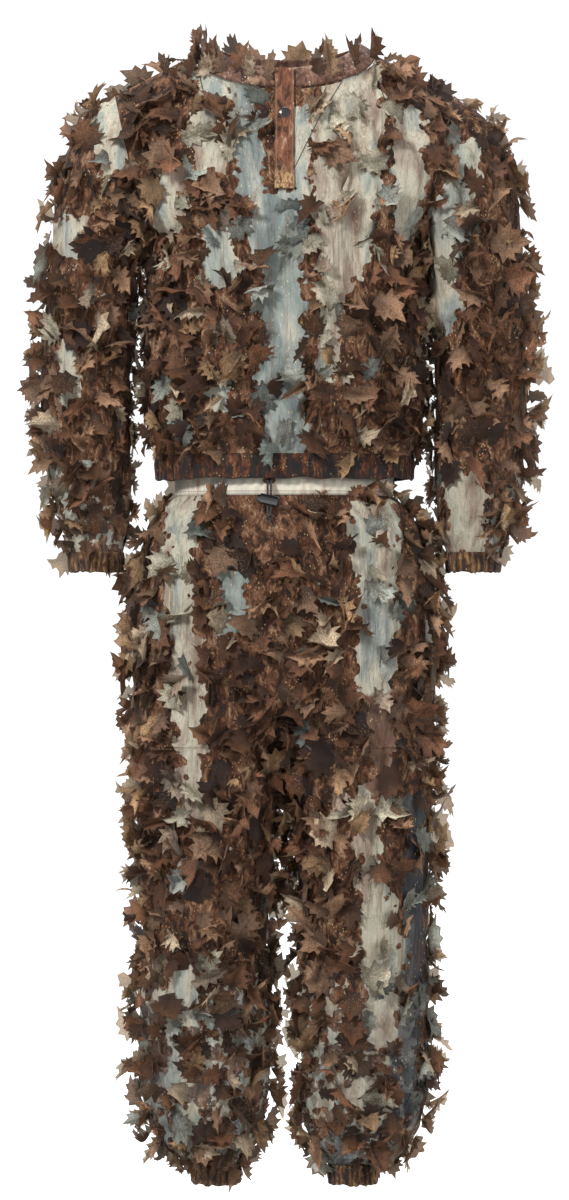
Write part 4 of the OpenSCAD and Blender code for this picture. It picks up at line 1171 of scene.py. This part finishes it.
def make_trousers():
    for side_name, side in SIDES:
        thigh, shin = f"{side_name}_thigh", f"{side_name}_shin"
        hip = ("trousers", thigh, *ramp_points((0, 0, CROTCH_Z), (0.3 * side, 0.8, -4.4)))
        knee = (thigh, shin, (0, 0, KNEE_Z), (0, 0, -1.38))
        for face_name, face in FACES:
            name, key = f"seat_{face_name}_{side_name}", 3 * side + face
            make_panel((name, name + "_leaves"), f"trouser_{face_name}", seat_grid(side, face, 62, 52), LEG_STRIPS,
                       dict(gather_z=WAIST_Z, seed=40 + key), 160 + key, dict(top=0.006), (hip, hip))
        parts = ((thigh, None, KNEE_Z, 46, None, hip, (0.60, 0.26), f"seat_front_{side_name}", 0.01),
                 (shin, KNEE_Z, None, 66, ANKLE_TOP_Z, knee, (0.56, 0.37), f"{side_name}_ankle", 0.002))
        for k, (node, top, bottom, rows, gather_z, blend, flat, rests_on, leaf_bottom) in enumerate(parts):
            key = 3 * side + k
            make_limb(node, tube_grid(LEG, side, rows, 96, top, bottom), LEG_STRIPS,
                      dict(gather_z=gather_z, centre=ANKLE_X * side, seed=50 + key), 190 + key, blend,
                      (0.30, 1.16, 1.34), leaf_bottom)


def make_bands():
    """The gathered bands, each with its elastic: half width and depth, then lower and upper edge, in metres."""
    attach(band_piece("hem", 0, 0.180, 0.108, -0.574, HEM_Z, 0.005, MATERIALS["hem"], "band_cloth", ["hem_band"],
                       66, 0.0030, seed=5), "jacket")
    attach(elastic_piece("hem_elastic_ring", 0, 0.1775, 0.1055, -0.570, -0.544, ["hem_elastic"], 120), "jacket")
    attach(band_piece("waistband_cream", 0, 0.152, 0.094, WAIST_Z, -0.551, 0.009, MATERIALS["lining"],
                       "waistband_cloth", ["waistband"], 74, 0.0016, True, seed=9), "trousers")
    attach(elastic_piece("waist_elastic_ring", 0, 0.1457, 0.0877, -0.592, -0.555, ["waist_elastic"], 110),
            "trousers")
    limbs = (("cuff", "forearm", CUFF_X, (0.038, 0.039, -0.703, CUFF_TOP_Z), 26, 12,
              (0.0357, 0.0367, -0.699, -0.680), 34),
             ("ankle", "shin", ANKLE_X, (0.034, 0.034, -1.558, ANKLE_TOP_Z), 24, 15,
              (0.0317, 0.0317, -1.554, -1.534), 30))
    for side_name, side in SIDES:
        for part, limb, x, band, pleats, seed, ring, ribs in limbs:
            name, body = f"{side_name}_{part}", f"{side_name}_{limb}"
            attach(band_piece(name, x * side, *band, 0.0046, MATERIALS["cuff"], "band_cloth", [name + "_band"],
                               pleats, 0.0026, seed=seed + side), body)
            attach(elastic_piece(name + "_ring", x * side, *ring, [name + "_elastic"], ribs), body)


# ---------------------------------------------------------------- neckband and placket


def collar_points(angle):
    """The collar's lower and upper edge at an angle from the front, in radians."""
    front = np.cos(angle) > 0
    x = NECK_X * np.sin(angle)
    z = np.where(front, scoop(x, NECK_DIP[-1]), scoop(x, NECK_DIP[1])) + HALF_GAP
    y = np.where(front, -(HALF_GAP + torso_depth(x, z, -1)), HALF_GAP + torso_depth(x, z, 1))
    lower = np.stack([x, y, z], -1)
    lift = np.abs(np.cos(angle)) ** 1.3
    upper = np.stack([0.104 * np.sin(angle), -np.cos(angle) * np.where(front, 0.076, 0.078),
                      0.038 + (np.where(front, -0.006, 0.024) - 0.038) * lift], -1)
    return lower, upper


def make_neckband():
    angle = np.radians(np.linspace(6, 354, 220))
    lower, upper = collar_points(angle)
    rows = []
    for share in np.linspace(0, 1, 9):
        line = upper + (lower - upper) * share
        out = unit(np.stack([np.sin(angle), -np.cos(angle), 0.5 + 0 * angle], -1))
        swell = np.sin(np.pi * share)
        puff = 0.0022 * swell + 0.0008 * smooth_noise(angle * 14, share * 2, 0, 71) * swell
        rows.append(line + out * puff[:, None])
    band = walled("neckband_bark", np.array(rows), 0.0018, MATERIALS["neck"], ["neckband"],
                  closed=False)
    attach(band, "jacket")
    # Each leaf: its angle from the front, how far down the collar it is sewn, its size and its spin
    spots = [(22, 0.4, 0.050, 0.25), (31, 0.6, 0.066, 0.05), (52, 0.5, 0.050, -0.5), (75, 0.6, 0.050, 0.3),
             (100, 0.7, 0.056, 0.6),
             (125, 0.6, 0.050, -0.2), (150, 0.6, 0.052, 0.2), (172, 0.5, 0.050, -0.3), (196, 0.6, 0.052, 0.4),
             (220, 0.5, 0.056, -0.4), (243, 0.7, 0.060, 0.2), (262, 0.6, 0.050, -0.5), (280, 0.5, 0.048, 0.45),
             (293, 0.6, 0.044, -0.65), (304, 0.5, 0.050, 0.60), (316, 0.6, 0.052, -0.25), (327, 0.5, 0.052, 0.5),
             (338, 0.5, 0.044, -0.3), (349, 0.6, 0.046, 0.2), (286, 0.9, 0.050, 1.1), (310, 0.9, 0.046, -1.1)]
    angle = np.radians([s[0] for s in spots])
    lower, upper = collar_points(angle)
    share = np.array([s[1] for s in spots])[:, None]
    place = upper + (lower - upper) * share
    normal = unit(np.stack([np.sin(angle), -np.cos(angle), 0.35 + 0 * angle], -1))
    n = len(spots)
    key = hash01(np.arange(n), 5)
    tint = pick_tints(hash01(np.arange(n), 8))
    tint[1] = np.array(TAN)
    kind = (hash01(np.arange(n), 9) * len(TEMPLATES)).astype(int)
    kind[1] = 1
    thin = 0.08 * hash01(np.arange(n), 6)
    thin[1] = 0.10
    leaves = plant("neckband_foliage", place + normal * 0.003, normal, np.array([s[2] for s in spots]),
                   np.pi + np.array([s[3] for s in spots]), np.radians(4 + 16 * hash01(np.arange(n), 7)),
                   0.9 * hash01(np.arange(n), 10), 0.9 * hash01(np.arange(n), 11) - 0.2, hash01(np.arange(n), 12) - 0.5,
                   kind, tint, thin, key)
    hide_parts("neckband_leaves")
    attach(leaves, "jacket")


PLACKET_TOP = np.array([0, -0.07986, -0.008])
PLACKET_SLOPE = math.radians(10.6)
PLACKET_W, PLACKET_L = 0.027, 0.172


def placket_strip(name, height, node, body, seed):
    """A folded strip of cloth, stitched along its edges, on the placket's own plane."""
    across = np.linspace(-1, 1, 25)[None, :]
    down = np.linspace(0, 1, 120)[:, None]
    u = across * PLACKET_W / 2 + 0 * down
    v = -down * PLACKET_L + 0 * across
    w = height + 0.0009 + 0.00025 * smooth_noise(u / 0.006, v / 0.011, 0, seed)
    w = w - 0.00035 * np.exp(-((np.abs(u) - PLACKET_W / 2 + 0.0022) / 0.0006) ** 2)
    w = w - 0.0006 * smoothstep(np.abs(across) + 0 * down, 0.90, 1.0)
    up = np.array([0, math.sin(PLACKET_SLOPE), math.cos(PLACKET_SLOPE)])
    out = np.array([0, -math.cos(PLACKET_SLOPE), math.sin(PLACKET_SLOPE)])
    grid = PLACKET_TOP + u[..., None] * np.array([1, 0, 0]) + v[..., None] * up + w[..., None] * out
    local = np.stack([u, v, w], -1).reshape(-1, 3)
    piece = walled(name, grid, 0.0009, MATERIALS["placket"], [node], closed=False,
                   extra={"strip": local})
    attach(piece, body)


def placket_cloth():
    n = Nodes("placket_cloth")
    rest = n.attribute("rest")
    local = n.parts(n.attribute("strip"))
    streaks = n.noise(n.scaled(rest, (1, 1, 0.30)), 130, 5, 0.66, 0.9)
    colour = n.ramp(streaks, [(0.30, BLACK), (0.42, srgb("4a2c1e")), (0.52, srgb("6f4430")), (0.62, srgb("8a6248")),
                              (0.74, CREAM)])
    low = n.step(local[1], -0.172, -0.128, 1.0, 0.0)
    straw = n.noise(n.scaled(rest, (1, 1, 0.6)), 300, 4, 0.7)
    colour = n.mix(n.times(low, n.step(straw, 0.44, 0.58)), colour, GOLD)
    seam = n.step(n.size(n.minus(n.size(local[0]), PLACKET_W / 2 - 0.0022)),
                  0.0003, 0.0009, 1.0, 0.0)
    dash = n.step(n.math("FRACT", n.times(local[1], 380)), 0.28, 0.36)
    colour = n.mix(n.times(seam, 0.55), colour, BLACK)
    colour = n.mix(n.times(n.times(seam, dash), 0.6), colour, TAN)
    normal = n.bump(weave_height(n, rest), 0.0004, 0.4, n.bump(streaks, 0.0015, 0.3))
    return n.cloth(colour, 0.8, normal, 0.12)


# ---------------------------------------------------------------- the script

make_camera()
make_stage()
make_lights()
HEM_STOPS = [(0.42, srgb("070606")), (0.47, srgb("1d0f0a")), (0.52, srgb("42210f")), (0.57, srgb("61341f")),
             (0.63, srgb("82603f")), (0.72, srgb("b0935f"))]
CUFF_STOPS = [(0.36, srgb("0f0c0a")), (0.44, srgb("33211a")), (0.51, srgb("5f412a")), (0.58, srgb("86653f")),
              (0.68, srgb("b39765"))]
NECK_STOPS = [(0.30, srgb("1b1213")), (0.42, srgb("40291f")), (0.53, srgb("6b4c3e")), (0.64, srgb("94775f")),
              (0.78, srgb("c2ae90"))]
MATERIALS.update(mesh=mesh_cloth(), leaf=leaf_cloth(), hem=band_cloth("hem_cloth", HEM_STOPS, GOLD),
                 cuff=band_cloth("cuff_cloth", CUFF_STOPS, GOLD),
                 neck=band_cloth("neck_cloth", NECK_STOPS, CREAM, 0.5),
                 lining=lining_cloth(), elastic=woven_elastic(), cord=braided_cord(), placket=placket_cloth(),
                 steel=spring_steel())
TEMPLATES.extend(leaf_template(right, left, k) for k, (right, left) in enumerate(LEAF_PAIRS))
make_cords()
make_lock_spring()
make_bands()
make_neckband()
placket_strip("placket_flap_strip", 0.0035, "placket", "placket_flap", 81)
placket_strip("under_placket_strip", 0.0004, "under_placket", "jacket", 82)
make_jacket_body()
make_sleeves()
make_trousers()
plastic, metal = gloss_black("lock_plastic", 0.16), gloss_black("snap_enamel", 0.2, 0.3)
for node, material in (("snap_cap", metal), ("snap_stud", metal), ("snap_post", metal), ("snap_socket", metal),
                       ("lock_barrel", plastic), ("lock_button", plastic),
                       ("drawcord", MATERIALS["cord"])):
    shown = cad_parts[node]
    shown.data.materials.clear()
    shown.data.materials.append(material)
